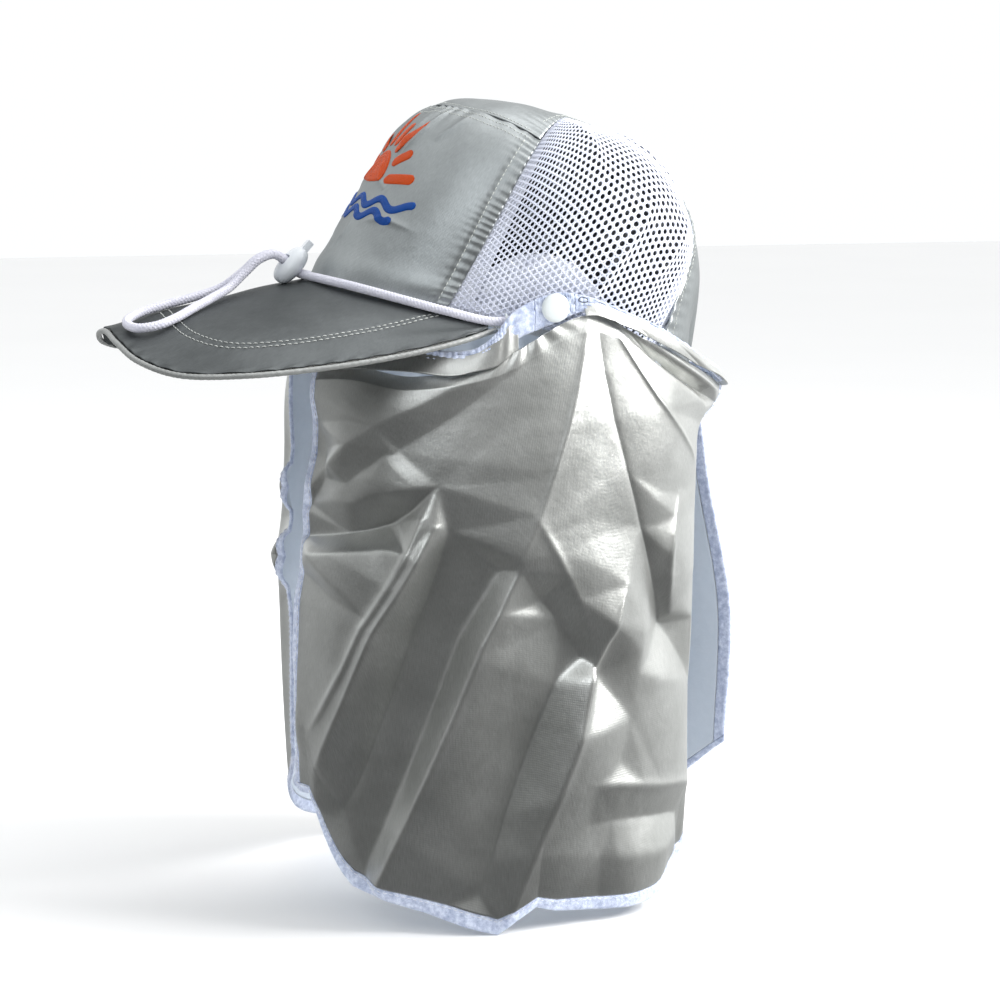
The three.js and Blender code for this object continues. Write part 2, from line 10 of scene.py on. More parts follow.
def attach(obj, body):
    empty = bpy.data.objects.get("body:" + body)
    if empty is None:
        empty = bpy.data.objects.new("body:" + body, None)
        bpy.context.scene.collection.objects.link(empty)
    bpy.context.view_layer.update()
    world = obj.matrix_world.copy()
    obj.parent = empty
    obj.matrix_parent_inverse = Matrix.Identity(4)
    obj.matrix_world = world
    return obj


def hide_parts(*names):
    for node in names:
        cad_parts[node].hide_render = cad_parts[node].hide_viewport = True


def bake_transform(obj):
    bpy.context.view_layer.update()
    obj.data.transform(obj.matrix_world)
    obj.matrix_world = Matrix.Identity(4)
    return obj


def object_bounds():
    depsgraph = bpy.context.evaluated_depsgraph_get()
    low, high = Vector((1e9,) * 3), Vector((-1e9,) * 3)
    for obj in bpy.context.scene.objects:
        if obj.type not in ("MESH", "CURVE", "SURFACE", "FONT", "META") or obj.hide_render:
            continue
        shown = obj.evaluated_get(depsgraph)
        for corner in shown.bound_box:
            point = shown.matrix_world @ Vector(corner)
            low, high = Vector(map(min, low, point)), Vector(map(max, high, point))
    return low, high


# Looks of the sun cap with a hanging veil. Shapes are worked out in millimetres in the cap's own
# frame (the worn cap is that frame tilted back) and turned into metres when a mesh is made.
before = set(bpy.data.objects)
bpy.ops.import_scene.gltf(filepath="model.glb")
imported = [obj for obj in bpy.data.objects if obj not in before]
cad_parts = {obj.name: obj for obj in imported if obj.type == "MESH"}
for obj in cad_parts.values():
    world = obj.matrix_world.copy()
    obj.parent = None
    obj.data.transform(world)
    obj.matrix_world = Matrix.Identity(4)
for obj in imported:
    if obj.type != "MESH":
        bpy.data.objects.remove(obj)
cad_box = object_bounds()

MM = 0.001
SIDES = ("left", "right")

TILT = math.radians(14)
HEAD_HALF_LENGTH = 101.0
HEAD_HALF_WIDTH = 82.0
CROWN_HEIGHT = 107.0
FRONT_LEAN = 0.003
ROUNDNESS_FRONT, ROUNDNESS_SIDE, ROUNDNESS_BACK = 0.4, 0.55, 0.76
FRONT_SEAM_ANGLE = math.radians(60)
TOP_SEAM_AT = 0.9
MESH_TOP_AT = 0.56
BRIM_ROOT_ANGLE = math.radians(74)
BRIM_ROOT_Z = -4.5
COVER_OUT = 1.85
CORD_RADIUS = 2.2
LOCK_CENTRE = (0, -114, 1.9)
LOCK_LEAN = math.radians(62)
SNAP_Y, SNAP_Z = -4, 11.4
BINDING_WIDTH = 5
PANEL_SPAN, PANEL_DROP = 250, 285


# ---------------------------------------------------------------- curves and surfaces
def run_along(line):
    """Distance from the start of the line to each of its points."""
    return np.r_[0, np.cumsum(np.linalg.norm(np.diff(line, axis=0), axis=1))]


def resampled(pairs, count):
    """The u and v of a polyline of (u, v) pairs, at that many evenly numbered places."""
    places = np.linspace(0, 1, count)
    marks = np.linspace(0, 1, len(pairs))
    return [np.interp(places, marks, [pair[k] for pair in pairs]) for k in (0, 1)]


class Smooth:
    """Centripetal Catmull-Rom curve through the points; at() takes values from 0 to 1."""

    def __init__(self, points):
        self.p = np.array(points, float)
        first = 2 * self.p[0] - self.p[1]
        last = 2 * self.p[-1] - self.p[-2]
        self.q = np.vstack([first, self.p, last])

    def at(self, t):
        t = np.clip(np.atleast_1d(np.asarray(t, float)), 0, 1) * (len(self.p) - 1)
        i = np.minimum(t.astype(int), len(self.p) - 2)
        w = (t - i)[:, None]
        p0, p1, p2, p3 = (self.q[i + k] for k in range(4))
        d0, d1, d2 = (self.root(a, b) for a, b in ((p0, p1), (p1, p2), (p2, p3)))
        t1 = ((p1 - p0) / d0 - (p2 - p0) / (d0 + d1) + (p2 - p1) / d1) * d1
        t2 = ((p2 - p1) / d1 - (p3 - p1) / (d1 + d2) + (p3 - p2) / d2) * d1
        cubic = (2 * p1 - 2 * p2 + t1 + t2) * w + (3 * p2 - 3 * p1 - 2 * t1 - t2)
        return (cubic * w + t1) * w + p1

    @staticmethod
    def root(a, b):
        return np.maximum(np.sqrt(np.linalg.norm(b - a, axis=1)), 1e-4)[:, None]

    def evenly(self, step):
        """Points a fixed distance apart along the curve."""
        fine = self.at(np.linspace(0, 1, 60 * len(self.p)))
        run = run_along(fine)
        marks = np.linspace(0, run[-1], max(2, round(run[-1] / step) + 1))
        return np.stack([np.interp(marks, run, fine[:, k]) for k in range(3)], 1)


def worn(points):
    """Cap frame to worn frame."""
    p = np.asarray(points, float)
    c, s = math.cos(TILT), math.sin(TILT)
    return np.stack([p[..., 0], p[..., 1] * c + p[..., 2] * s,
                     p[..., 2] * c - p[..., 1] * s], -1)


def mirrored(points):
    return np.asarray(points, float) * np.array([-1.0, 1, 1])


def crown_level(p):
    length = np.where(p[..., 1] < 0, HEAD_HALF_LENGTH * (1 - FRONT_LEAN * p[..., 2]),
                      HEAD_HALF_LENGTH)
    x = p[..., 0] / HEAD_HALF_WIDTH
    y = p[..., 1] / length
    ring = np.hypot(x, y)
    facing = np.where(ring > 1e-9, -y / np.maximum(ring, 1e-9), 0)
    end = np.where(facing > 0, ROUNDNESS_FRONT, ROUNDNESS_BACK)
    power = 2 / (ROUNDNESS_SIDE + (end - ROUNDNESS_SIDE) * np.abs(facing))
    return ring ** power + np.maximum(p[..., 2] / CROWN_HEIGHT, 0) ** power


def on_crown(p):
    """Moves points along their lines from the origin onto the crown."""
    p = np.asarray(p, float)
    low = np.full(p.shape[:-1], 0.2)
    high = np.full(p.shape[:-1], 4.0)
    for _ in range(36):
        middle = (low + high) / 2
        inside = crown_level(p * middle[..., None]) < 1
        low = np.where(inside, middle, low)
        high = np.where(inside, high, middle)
    return p * low[..., None]


def base_point(angle, grow=0.0, z=0.0):
    angle = np.asarray(angle, float)
    return np.stack([(HEAD_HALF_WIDTH + grow) * np.sin(angle),
                     -(HEAD_HALF_LENGTH + grow) * np.cos(angle), z + 0 * angle], -1)


FRONT_MIDDLE = Smooth([[0, -101, 0], [0, -97, 38], [0, -86, 74], [0, -60, 99]])
STRIP_SIDE = Smooth([[60, -18, 95], [47, -8, 103], [29, 5, 106], [14, 28, 106],
                     [11, 58, 97], [20, 76, 82], [42, 78, 58], [58, 67, 30], [66, 60, 0]])
STRIP_MIDDLE = Smooth([[0, -60, 99], [0, -25, 108], [0, 5, 110], [0, 32, 107],
                       [0, 60, 97], [0, 79, 80], [0, 91, 58], [0, 98, 30], [0, 101, 0]])


def front_seam(t):
    t = np.atleast_1d(np.asarray(t, float))[:, None]
    a, b, c = base_point(FRONT_SEAM_ANGLE), np.array([81, -38, 52.0]), np.array([60, -18, 95.0])
    return a * (1 - t) ** 2 + 2 * b * t * (1 - t) + c * t ** 2


def strip_side(v):
    lead = 0.06
    start = front_seam(TOP_SEAM_AT + (1 - TOP_SEAM_AT) * np.minimum(v / lead, 1))
    rest = STRIP_SIDE.at((v - lead) / (1 - lead))
    return np.where((v < lead)[:, None], start, rest)


def across(middle, side, us):
    s = (2 * us - 1)[None, :, None]
    p = middle[:, None] + (side - middle)[:, None] * s * s
    p[..., 0] = side[:, None, 0] * s[..., 0]
    return on_crown(p)


def front_surface(us, vs):
    return across(FRONT_MIDDLE.at(vs), front_seam(TOP_SEAM_AT * vs), us)


def strip_surface(us, vs):
    return across(STRIP_MIDDLE.at(vs), strip_side(vs), us)


def mesh_surface(us, vs):
    back = math.atan2(66 / HEAD_HALF_WIDTH, -60 / HEAD_HALF_LENGTH)
    bottom = base_point(FRONT_SEAM_ANGLE + (back - FRONT_SEAM_ANGLE) * us)
    top = STRIP_SIDE.at(MESH_TOP_AT * us)
    front = front_seam(vs)
    rear = STRIP_SIDE.at(1 - (1 - MESH_TOP_AT) * vs)
    u, v = us[None, :, None], vs[:, None, None]
    ruled_v = bottom[None] * (1 - v) + top[None] * v
    ruled_u = front[:, None] * (1 - u) + rear[:, None] * u
    ends = base_point(np.array([FRONT_SEAM_ANGLE, back]))
    tops = STRIP_SIDE.at(np.array([0, MESH_TOP_AT]))
    low = ends[0] * (1 - u) + ends[1] * u
    high = tops[0] * (1 - u) + tops[1] * u
    return on_crown(ruled_v + ruled_u - low * (1 - v) - high * v)


def band_surface(angle0, angle1, z0, z1):
    def surface(us, vs):
        angle = angle0 + (angle1 - angle0) * us
        rows = [base_point(angle, 0, z0 + (z1 - z0) * v) for v in vs]
        return on_crown(np.array(rows))
    return surface


def patch_surface(us, vs):
    s = 2 * us - 1
    height = 6 + 30 * np.sqrt(1 - 0.98 * s * s)
    y = SNAP_Y - 4 + 34 * s
    x = HEAD_HALF_WIDTH * np.sqrt(1 - (y / HEAD_HALF_LENGTH) ** 2)
    rows = [np.stack([x, y, 1.5 + (height - 1.5) * v], -1) for v in vs]
    return on_crown(np.array(rows))


BRIM_EDGE_LEFT = [[84.5, -29, -5.4], [89, -48, -15.5], [93, -80, -29.5],
                  [94, -112, -41.5], [90, -145, -52.5], [76, -172, -59.5],
                  [54, -188, -58.5], [28, -195.5, -53.5]]
BRIM_EDGE = Smooth([[-x, y, z] for x, y, z in BRIM_EDGE_LEFT] + [[0, -197, -50.5]]
                   + BRIM_EDGE_LEFT[::-1])
BRIM_EDGE_EVEN = BRIM_EDGE.evenly(0.5)


def brim_edge(u):
    place = np.asarray(u) * (len(BRIM_EDGE_EVEN) - 1)
    marks = np.arange(len(BRIM_EDGE_EVEN))
    return np.stack([np.interp(place, marks, BRIM_EDGE_EVEN[:, k]) for k in range(3)], -1)


def brim_surface(edge_inset):
    def surface(us, vs):
        root = base_point(BRIM_ROOT_ANGLE * (2 * us - 1), 1.2, BRIM_ROOT_Z)
        edge = brim_edge(us)
        reach = 1 - edge_inset / np.linalg.norm(edge - root, axis=1)
        t = vs[:, None, None] * reach[None, :, None]
        p = root[None] * (1 - t) + edge[None] * t
        p[..., 2] += 1.5 * np.sin(math.pi * vs)[:, None] * np.sin(math.pi * us)[None]
        return p
    return surface


TAPE_UPPER = [[26, -103.5, -7], [52, -89, -5], [73, -69, -5.5], [84, -52, -8],
              [88.3, -41, -6.5], [90.5, -32, 0], [89.5, -23, 10], [87.8, -1, 19], [86.6, 16, 17],
              [85, 35, 10], [76, 62, -2], [53, 90, -16.5], [27, 110, -26]]
TAPE_LOWER = [[26, -104.5, -18], [53, -91, -15], [75, -70, -15], [84.5, -52, -16.5],
              [88.6, -41, -14.5], [90.5, -32, -11], [89.5, -23, -4], [87.8, -1, 4.5],
              [87.4, 16, 10], [85.8, 35, 3.8], [77, 63, -8.5], [54, 91.5, -23], [28, 112, -33]]
SNAP_KNOT = 7
TAPE_KNOTS = 2 * len(TAPE_UPPER)
TAB_FROM, TAB_TO = SNAP_KNOT - 0.45, SNAP_KNOT + 0.6


def whole_loop(points, back_middle):
    return Smooth(points + [back_middle] + [[-x, y, z] for x, y, z in points[::-1]])


UPPER_EDGE = whole_loop(TAPE_UPPER, [0, 118, -29])
LOWER_EDGE = whole_loop(TAPE_LOWER, [0, 120, -36])


def tape_surface(knot0, knot1):
    def surface(us, vs):
        t = (knot0 + (knot1 - knot0) * us) / TAPE_KNOTS
        upper, lower = UPPER_EDGE.at(t)[None], LOWER_EDGE.at(t)[None]
        return upper + (lower - upper) * vs[:, None, None]
    return surface


RIBS_LEFT = [
    [[26, -104.6, -19.2], [25, -109, -75], [24, -115, -136], [24, -116, -232]],
    [[53, -91.2, -16.4], [58, -95, -75], [62, -96, -140], [60, -98, -268]],
    [[76, -69, -20.5], [84, -68, -75], [88, -64, -145], [84, -66, -284]],
    [[90.4, -33, -13.4], [96, -28, -70], [98, -26, -150], [93, -26, -296]],
    [[87.4, 16, 7.8], [95, 17, -60], [99, 18, -150], [93, 22, -294]],
    [[82.4, 48, -5], [88, 52, -70], [88, 52, -150], [79, 54, -290]],
    [[54, 92, -26], [60, 82, -68], [62, 80, -150], [58, 78, -274]],
    [[14, 118, -37.6], [42, 89, -70], [48, 83, -150], [46, 84, -262]]]
RIBS_RIGHT = [[[-x, y, z] for x, y, z in rib] for rib in RIBS_LEFT]
RIBS_RIGHT[0] = [[-26, -104.6, -19.2], [-25, -104, -75], [-24, -105, -136], [-26, -106, -232]]
RIBS_RIGHT[6] = [[-54, 92, -26], [-60, 92, -80], [-62, 102, -150], [-54, 104, -278]]
RIBS_RIGHT[7] = [[-14, 118, -37.6], [-24, 126, -86], [-25, 143, -165], [-23, 139, -242]]
RIBS = {"left": RIBS_LEFT, "right": RIBS_RIGHT}


def veil_surface(ribs):
    def surface(us, vs):
        downs = np.array([Smooth(rib).at(vs) for rib in ribs])
        return np.array([Smooth(downs[:, j]).at(us) for j in range(len(vs))])
    return surface


def on_side(side, surface):
    if side == "left":
        return surface
    return lambda us, vs: mirrored(surface(us, vs))


# ---------------------------------------------------------------- sheets of cloth
def normals_of(points, away_from):
    du = np.gradient(points, axis=1)
    dv = np.gradient(points, axis=0)
    n = np.cross(du, dv)
    n /= np.maximum(np.linalg.norm(n, axis=-1, keepdims=True), 1e-12)
    middle = tuple(k // 2 for k in points.shape[:2])
    outward = points[middle] - np.array(away_from, float)
    return n if np.dot(n[middle], outward) > 0 else -n


class Sheet:
    """A dense grid over a surface, raised by a relief in millimetres along its normals."""

    def __init__(self, surface, u_range=(0, 1), v_range=(0, 1), size=(120, 80), relief=None,
                 lift=0.0, away_from=(0, 0, 0), cap=True):
        self.us = np.linspace(*u_range, size[0])
        self.vs = np.linspace(*v_range, size[1])
        p = surface(self.us, self.vs)
        if cap:
            p = worn(p)
        n = normals_of(p, away_from)
        height = np.full(p.shape[:2], float(lift))
        if relief is not None:
            height += relief(*np.meshgrid(self.us, self.vs))
        self.p = p + n * height[..., None]
        self.n = normals_of(self.p, away_from)
        self.across = np.linalg.norm(np.diff(self.p, axis=1), axis=-1).sum(1).mean()
        self.down = np.linalg.norm(np.diff(self.p, axis=0), axis=-1).sum(0).mean()

    def at(self, u, v, lift=0.0):
        """Points on the sheet at surface coordinates u and v, raised by lift."""
        fu = np.interp(u, self.us, np.arange(len(self.us)))
        fv = np.interp(v, self.vs, np.arange(len(self.vs)))
        i = np.minimum(fu.astype(int), len(self.us) - 2)
        j = np.minimum(fv.astype(int), len(self.vs) - 2)
        a, b = (fu - i)[:, None], (fv - j)[:, None]

        def mix(g):
            near = g[j, i] * (1 - a) + g[j, i + 1] * a
            far = g[j + 1, i] * (1 - a) + g[j + 1, i + 1] * a
            return near * (1 - b) + far * b

        n = mix(self.n)
        n /= np.linalg.norm(n, axis=1, keepdims=True)
        return mix(self.p) + n * np.asarray(lift, float).reshape(-1, 1), n


def linked(name, data):
    """A new object of the scene that shows the data."""
    obj = bpy.data.objects.new(name, data)
    bpy.context.scene.collection.objects.link(obj)
    return obj


def new_object(name, verts, faces, uvs=None, materials=()):
    """verts in millimetres; uvs are one pair per vertex, in millimetres of cloth."""
    mesh = bpy.data.meshes.new(name)
    mesh.from_pydata((np.asarray(verts) * MM).tolist(), [], [list(f) for f in faces])
    if uvs is not None:
        layer = mesh.uv_layers.new(name="cloth")
        loops = np.zeros(len(mesh.loops), np.int32)
        mesh.loops.foreach_get("vertex_index", loops)
        layer.data.foreach_set("uv", (np.asarray(uvs)[loops] * MM).astype(np.float32).ravel())
    for m in materials:
        mesh.materials.append(m)
    mesh.polygons.foreach_set("use_smooth", [True] * len(mesh.polygons))
    return linked(name, mesh)


def grid_faces(nu, nv, start=0, flip=False, wrap_u=False):
    columns = nu if wrap_u else nu - 1
    j, i = np.meshgrid(np.arange(nv - 1), np.arange(columns), indexing="ij")
    i2 = (i + 1) % nu
    a, b, c, d = j * nu + i, j * nu + i2, (j + 1) * nu + i2, (j + 1) * nu + i
    quads = np.stack([a, b, c, d] if not flip else [a, d, c, b], -1).reshape(-1, 4)
    return (quads + start).tolist()


def tube_faces(count, length):
    """Faces of rings of that many points in a row, with both ends closed."""
    last = (length - 1) * count
    return grid_faces(count, length, wrap_u=True) + [list(range(count))[::-1],
                                                     [last + k for k in range(count)]]


def apply_modifiers(obj):
    depsgraph = bpy.context.evaluated_depsgraph_get()
    final = bpy.data.meshes.new_from_object(obj.evaluated_get(depsgraph))
    obj.modifiers.clear()
    obj.data = final
    return obj


def sheet_object(name, sheet, thickness, outer, inner=None):
    """The sheet as cloth of that thickness, its outer face on the sheet itself."""
    nv, nu = sheet.p.shape[:2]
    middle = (nv // 2, nu // 2)
    du = sheet.p[middle[0], middle[1] + 1] - sheet.p[middle]
    dv = sheet.p[middle[0] + 1, middle[1]] - sheet.p[middle]
    flip = np.dot(np.cross(du, dv), sheet.n[middle]) < 0
    gu, gv = np.meshgrid(np.linspace(0, sheet.across, nu), np.linspace(0, sheet.down, nv))
    uvs = np.stack([gu, gv], -1).reshape(-1, 2)
    obj = new_object(name, sheet.p.reshape(-1, 3), grid_faces(nu, nv, flip=flip), uvs,
                     [outer, inner or outer])
    solid = obj.modifiers.new("thickness", "SOLIDIFY")
    solid.thickness = thickness * MM
    solid.offset = -1
    solid.material_offset = 1
    return apply_modifiers(obj)


def strip_object(name, sheet, along_u, half, material):
    """A tape folded round the sheet's cloth: a closed, softly rounded strip over the grid."""
    p, n = sheet.p, sheet.n
    if not along_u:
        p, n = p.transpose(1, 0, 2), n.transpose(1, 0, 2)
    rows, length = p.shape[:2]
    b = np.linspace(-1, 1, rows)
    puff = half * (0.25 + 0.75 * (1 - np.abs(b) ** 5))[:, None, None]
    ring = np.concatenate([p + n * puff, (p - n * puff)[::-1]], 0)
    verts = ring.transpose(1, 0, 2).reshape(-1, 3)
    count = 2 * rows
    run = np.linspace(0, np.linalg.norm(np.diff(p[0], axis=0), axis=1).sum(), length)
    width = np.linalg.norm(np.diff(p[:, 0], axis=0), axis=1).sum()
    side = np.r_[np.linspace(0, width, rows), np.linspace(width, 2 * width, rows)]
    uvs = np.stack([np.repeat(run, count), np.tile(side, length)], -1)
    return face_outwards(new_object(name, verts, tube_faces(count, length), uvs, [material]))


def stands_for(obj, slot, *nodes):
    """The piece takes the place of the CAD nodes, which are hidden; slot is not used."""
    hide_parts(*nodes)
    return obj


def placed(obj, body, slot=None, *nodes):
    """The piece rides on the body and, where nodes are named, stands for them."""
    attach(obj, body)
    return stands_for(obj, slot, *nodes) if nodes else obj


def face_outwards(obj):
    bm = bmesh.new()
    bm.from_mesh(obj.data)
    bmesh.ops.recalc_face_normals(bm, faces=bm.faces)
    bm.to_mesh(obj.data)
    bm.free()
    return obj


def joined(name, pieces):
    """Several meshes as one object with one set of materials."""
    bpy.ops.object.select_all(action="DESELECT")
    for piece in pieces:
        piece.select_set(True)
    bpy.context.view_layer.objects.active = pieces[0]
    bpy.ops.object.join()
    pieces[0].name = name
    return pieces[0]


# ---------------------------------------------------------------- reliefs
def blurred(grid, sigma):
    reach = int(3 * sigma) + 1
    k = np.exp(-0.5 * (np.arange(-reach, reach + 1) / sigma) ** 2)
    k /= k.sum()
    for axis in (0, 1):
        padded = np.pad(grid, [(reach, reach) if a == axis else (0, 0) for a in (0, 1)], "edge")
        grid = np.apply_along_axis(lambda r: np.convolve(r, k, "valid"), axis, padded)
    return grid


def facets(creases, size):
    """Heights over a unit square, flat between crease lines of (across %, down %, height)."""
    points, heights, edges = [], [], []
    for line in creases:
        for k, (a, d, h) in enumerate(line):
            if k:
                edges.append((len(points) - 1, len(points)))
            points.append(Vector((a * size[0] / 100, d * size[1] / 100)))
            heights.append(h)
    verts, _, faces, source, _, _ = delaunay_2d_cdt(points, edges, [], 0, 0.01)
    z = np.zeros(len(verts))
    xy = np.array([v[:] for v in points])
    for k, v in enumerate(verts):
        if source[k]:
            z[k] = heights[source[k][0]]
        else:
            near = np.argsort(np.hypot(*(xy - np.array(v[:])).T))[:2]
            z[k] = np.mean([heights[i] for i in near])
    co = np.array([v[:] for v in verts])

    def relief(u, v):
        x, y = u * size[0], v * size[1]
        out = np.zeros(x.shape)
        for face in faces:
            (ax, ay), (bx, by), (cx, cy) = co[face]
            area = (bx - ax) * (cy - ay) - (cx - ax) * (by - ay)
            if abs(area) < 1e-9:
                continue
            s = ((bx - x) * (cy - y) - (cx - x) * (by - y)) / area
            t = ((cx - x) * (ay - y) - (ax - x) * (cy - y)) / area
            r = 1 - s - t
            inside = (s >= -1e-6) & (t >= -1e-6) & (r >= -1e-6)
            value = s * z[face[0]] + t * z[face[1]] + r * z[face[2]]
            out = np.where(inside, value, out)
        return out
    return relief


def ridge(u, v, points, height, width, sharp=0.35):
    """A fold along a polyline of (u, v) points; width is in the same units as u and v."""
    best = np.full(u.shape, 1e9)
    along = np.zeros(u.shape)
    total = len(points) - 1
    for k in range(total):
        (ax, ay), (bx, by) = points[k], points[k + 1]
        dx, dy = bx - ax, by - ay
        t = np.clip(((u - ax) * dx + (v - ay) * dy) / (dx * dx + dy * dy), 0, 1)
        d = np.hypot(u - ax - t * dx, v - ay - t * dy)
        closer = d < best
        best = np.where(closer, d, best)
        along = np.where(closer, (k + t) / total, along)
    fade = np.sin(math.pi * np.clip(along, 0.02, 0.98)) ** 0.5
    return height * fade * np.exp(-(np.sqrt((best / width) ** 2 + sharp ** 2) - sharp) * 1.6)


def ridges(u, v, folds):
    """The sum of several ridges, each as (points, height, width)."""
    return sum(ridge(u, v, *fold) for fold in folds)


def wrinkles(u, v, seed, scale, height):
    """Soft unevenness from a few crossed waves."""
    rng = np.random.default_rng(seed)
    out = np.zeros(u.shape)
    for _ in range(9):
        a, b, c = rng.uniform(-1, 1, 3)
        out += np.sin(2 * math.pi * scale * (a * u + b * v) + 9 * c)
    return out * height / 4


# ---------------------------------------------------------------- materials
def node_material(name, color, roughness, metallic=0.0, **sockets):
    """A Principled material and its node tree; every plain number sits on the shader's socket."""
    material = bpy.data.materials.new(name)
    material.use_nodes = True
    shader = material.node_tree.nodes["Principled BSDF"]
    shader.inputs["Base Color"].default_value = (*color, 1)
    shader.inputs["Roughness"].default_value = roughness
    shader.inputs["Metallic"].default_value = metallic
    for socket, value in sockets.items():
        shader.inputs[socket.replace("_", " ")].default_value = value
    return material, material.node_tree, shader


def add_node(tree, kind, **settings):
    node = tree.nodes.new(kind)
    for key, value in settings.items():
        if key in node.inputs:
            node.inputs[key].default_value = value
        else:
            setattr(node, key, value)
    return node


def cloth_coordinates(tree, scale=(1, 1, 1)):
    uv = add_node(tree, "ShaderNodeUVMap", uv_map="cloth")
    mapping = add_node(tree, "ShaderNodeMapping", Scale=scale)
    tree.links.new(uv.outputs["UV"], mapping.inputs["Vector"])
    return mapping.outputs["Vector"]


def object_coordinates(tree):
    return add_node(tree, "ShaderNodeTexCoord").outputs["Object"]


def tint(tree, shader, factor, low, high, start=0.0, end=1.0):
    """Base colour from low to high as the factor goes from start to end."""
    ramp = add_node(tree, "ShaderNodeValToRGB")
    for element, color, place in zip(ramp.color_ramp.elements, (low, high), (start, end)):
        element.color = (*color, 1)
        element.position = place
    tree.links.new(factor, ramp.inputs["Fac"])
    tree.links.new(ramp.outputs["Color"], shader.inputs["Base Color"])


def rough_between(tree, shader, factor, low, high):
    span = add_node(tree, "ShaderNodeMapRange")
    span.inputs["To Min"].default_value = low
    span.inputs["To Max"].default_value = high
    tree.links.new(factor, span.inputs["Value"])
    tree.links.new(span.outputs["Result"], shader.inputs["Roughness"])


def bump(tree, shader, height, distance, strength=1.0):
    """Adds a bump on top of any bump that the shader already has."""
    node = add_node(tree, "ShaderNodeBump", Distance=distance, Strength=strength)
    tree.links.new(height, node.inputs["Height"])
    socket = shader.inputs["Normal"]
    if socket.is_linked:
        tree.links.new(socket.links[0].from_socket, node.inputs["Normal"])
    tree.links.new(node.outputs["Normal"], socket)


def noise(tree, vector, scale, detail=3.0, roughness=0.5):
    node = add_node(tree, "ShaderNodeTexNoise", Scale=scale, Detail=detail,
                    Roughness=roughness)
    tree.links.new(vector, node.inputs["Vector"])
    return node.outputs["Fac"]


def thread_wave(tree, vector, pitch, direction, distortion):
    """Waves that many metres apart, as threads lie side by side."""
    node = add_node(tree, "ShaderNodeTexWave", bands_direction=direction,
                    Scale=math.pi / (10 * pitch), Distortion=distortion)
    tree.links.new(vector, node.inputs["Vector"])
    return node.outputs["Fac"]


def product(tree, a, b):
    node = add_node(tree, "ShaderNodeMath", operation="MULTIPLY")
    tree.links.new(a, node.inputs[0])
    tree.links.new(b, node.inputs[1])
    return node.outputs["Value"]


def weave(tree, shader, pitch, distance):
    """Crossed threads of a plain weave, in cloth coordinates."""
    vector = cloth_coordinates(tree)
    warp = thread_wave(tree, vector, pitch, "X", 0.3)
    weft = thread_wave(tree, vector, pitch, "Y", 0.3)
    bump(tree, shader, product(tree, warp, weft), distance, 0.6)


def silver_cloth(name, low, high, roughness, metallic, edge=1.0):
    """Satin with a silver coating: fine upright weave, grain and cloudy tone."""
    material, tree, shader = node_material(name, low, roughness, metallic,
                                           Specular_Tint=(edge, edge, edge, 1))
    place = object_coordinates(tree)
    cloud = noise(tree, place, 28, 4, 0.6)
    streaks = noise(tree, cloth_coordinates(tree, (2400, 260, 1)), 1, 3, 0.7)
    tint(tree, shader, product(tree, cloud, streaks), low, high, 0.1, 0.45)
    rough_between(tree, shader, cloud, roughness - 0.05, roughness + 0.07)
    weave(tree, shader, 0.0007, 0.00005)
    bump(tree, shader, noise(tree, place, 900, 3), 0.00008, 0.6)
    bump(tree, shader, noise(tree, place, 70, 3, 0.55), 0.0009, 0.45)
    return material


def plain_cloth(name, low, high, pitch, roughness=0.9, distance=0.00015):
    material, tree, shader = node_material(name, low, roughness, Sheen_Weight=0.25)
    tint(tree, shader, noise(tree, object_coordinates(tree), 160, 5, 0.65), low, high)
    weave(tree, shader, pitch, distance)
    bump(tree, shader, noise(tree, object_coordinates(tree), 700, 3), 0.00015, 0.6)
    return material


def painted_shade_sheet_cloth(name):
    """Painted shade: a thin dark sheet, with paler clouds, that stands in for the shade inside the
    crown.
    """
    material, tree, shader = node_material(name, (0.02, 0.02, 0.03), 0.95)
    place = object_coordinates(tree)
    dark, pale = (0.008, 0.009, 0.014), (0.22, 0.23, 0.24)
    tint(tree, shader, noise(tree, place, 190, 2, 0.5), dark, pale, 0.5, 0.85)
    bump(tree, shader, noise(tree, place, 900, 2), 0.0001)
    return material


def bound_tape(name):
    """Brushed knit tape: fuzzy, speckled pale blue-white."""
    low, high = (0.32, 0.38, 0.55), (0.68, 0.74, 0.89)
    material, tree, shader = node_material(name, low, 0.92, Sheen_Weight=0.5)
    place = object_coordinates(tree)
    fuzz = noise(tree, place, 620, 5, 0.75)
    speckle = product(tree, fuzz, noise(tree, place, 300, 4))
    tint(tree, shader, speckle, low, high, 0.12, 0.36)
    bump(tree, shader, fuzz, 0.0004, 0.9)
    return material


def thread(name, color):
    material, tree, shader = node_material(name, color, 0.55, Sheen_Weight=0.3)
    darker = tuple(0.72 * c for c in color)
    tint(tree, shader, noise(tree, object_coordinates(tree), 900, 3), darker, color)
    return material


def satin_stitch(name, color):
    """Embroidery: glossy threads laid side by side across the stroke, with painted shade in the
    grooves between them.
    """
    material, tree, shader = node_material(name, color, 0.5, Specular_IOR_Level=0.25)
    threads = thread_wave(tree, cloth_coordinates(tree), 0.00045, "X", 1.2)
    darker = tuple(0.45 * c for c in color)
    # Painted shade: the colour darkens in the grooves between the threads.
    tint(tree, shader, threads, darker, color)
    bump(tree, shader, threads, 0.00025, 0.8)
    return material


def moulded_plastic(name, color, roughness):
    material, tree, shader = node_material(name, color, roughness, Coat_Weight=0.3,
                                           Coat_Roughness=0.12)
    place = object_coordinates(tree)
    darker = tuple(0.93 * c for c in color)
    tint(tree, shader, noise(tree, place, 60, 3), darker, color)
    rough_between(tree, shader, noise(tree, place, 240, 4), roughness - 0.06, roughness + 0.1)
    bump(tree, shader, noise(tree, place, 900, 2), 0.00002, 0.5)
    return material


def spring_wire(name):
    material, tree, shader = node_material(name, (0.62, 0.63, 0.65), 0.28, 1.0)
    place = object_coordinates(tree)
    rough_between(tree, shader, noise(tree, place, 1500, 2), 0.2, 0.4)
    bump(tree, shader, noise(tree, place, 2500, 2), 0.00001)
    return material


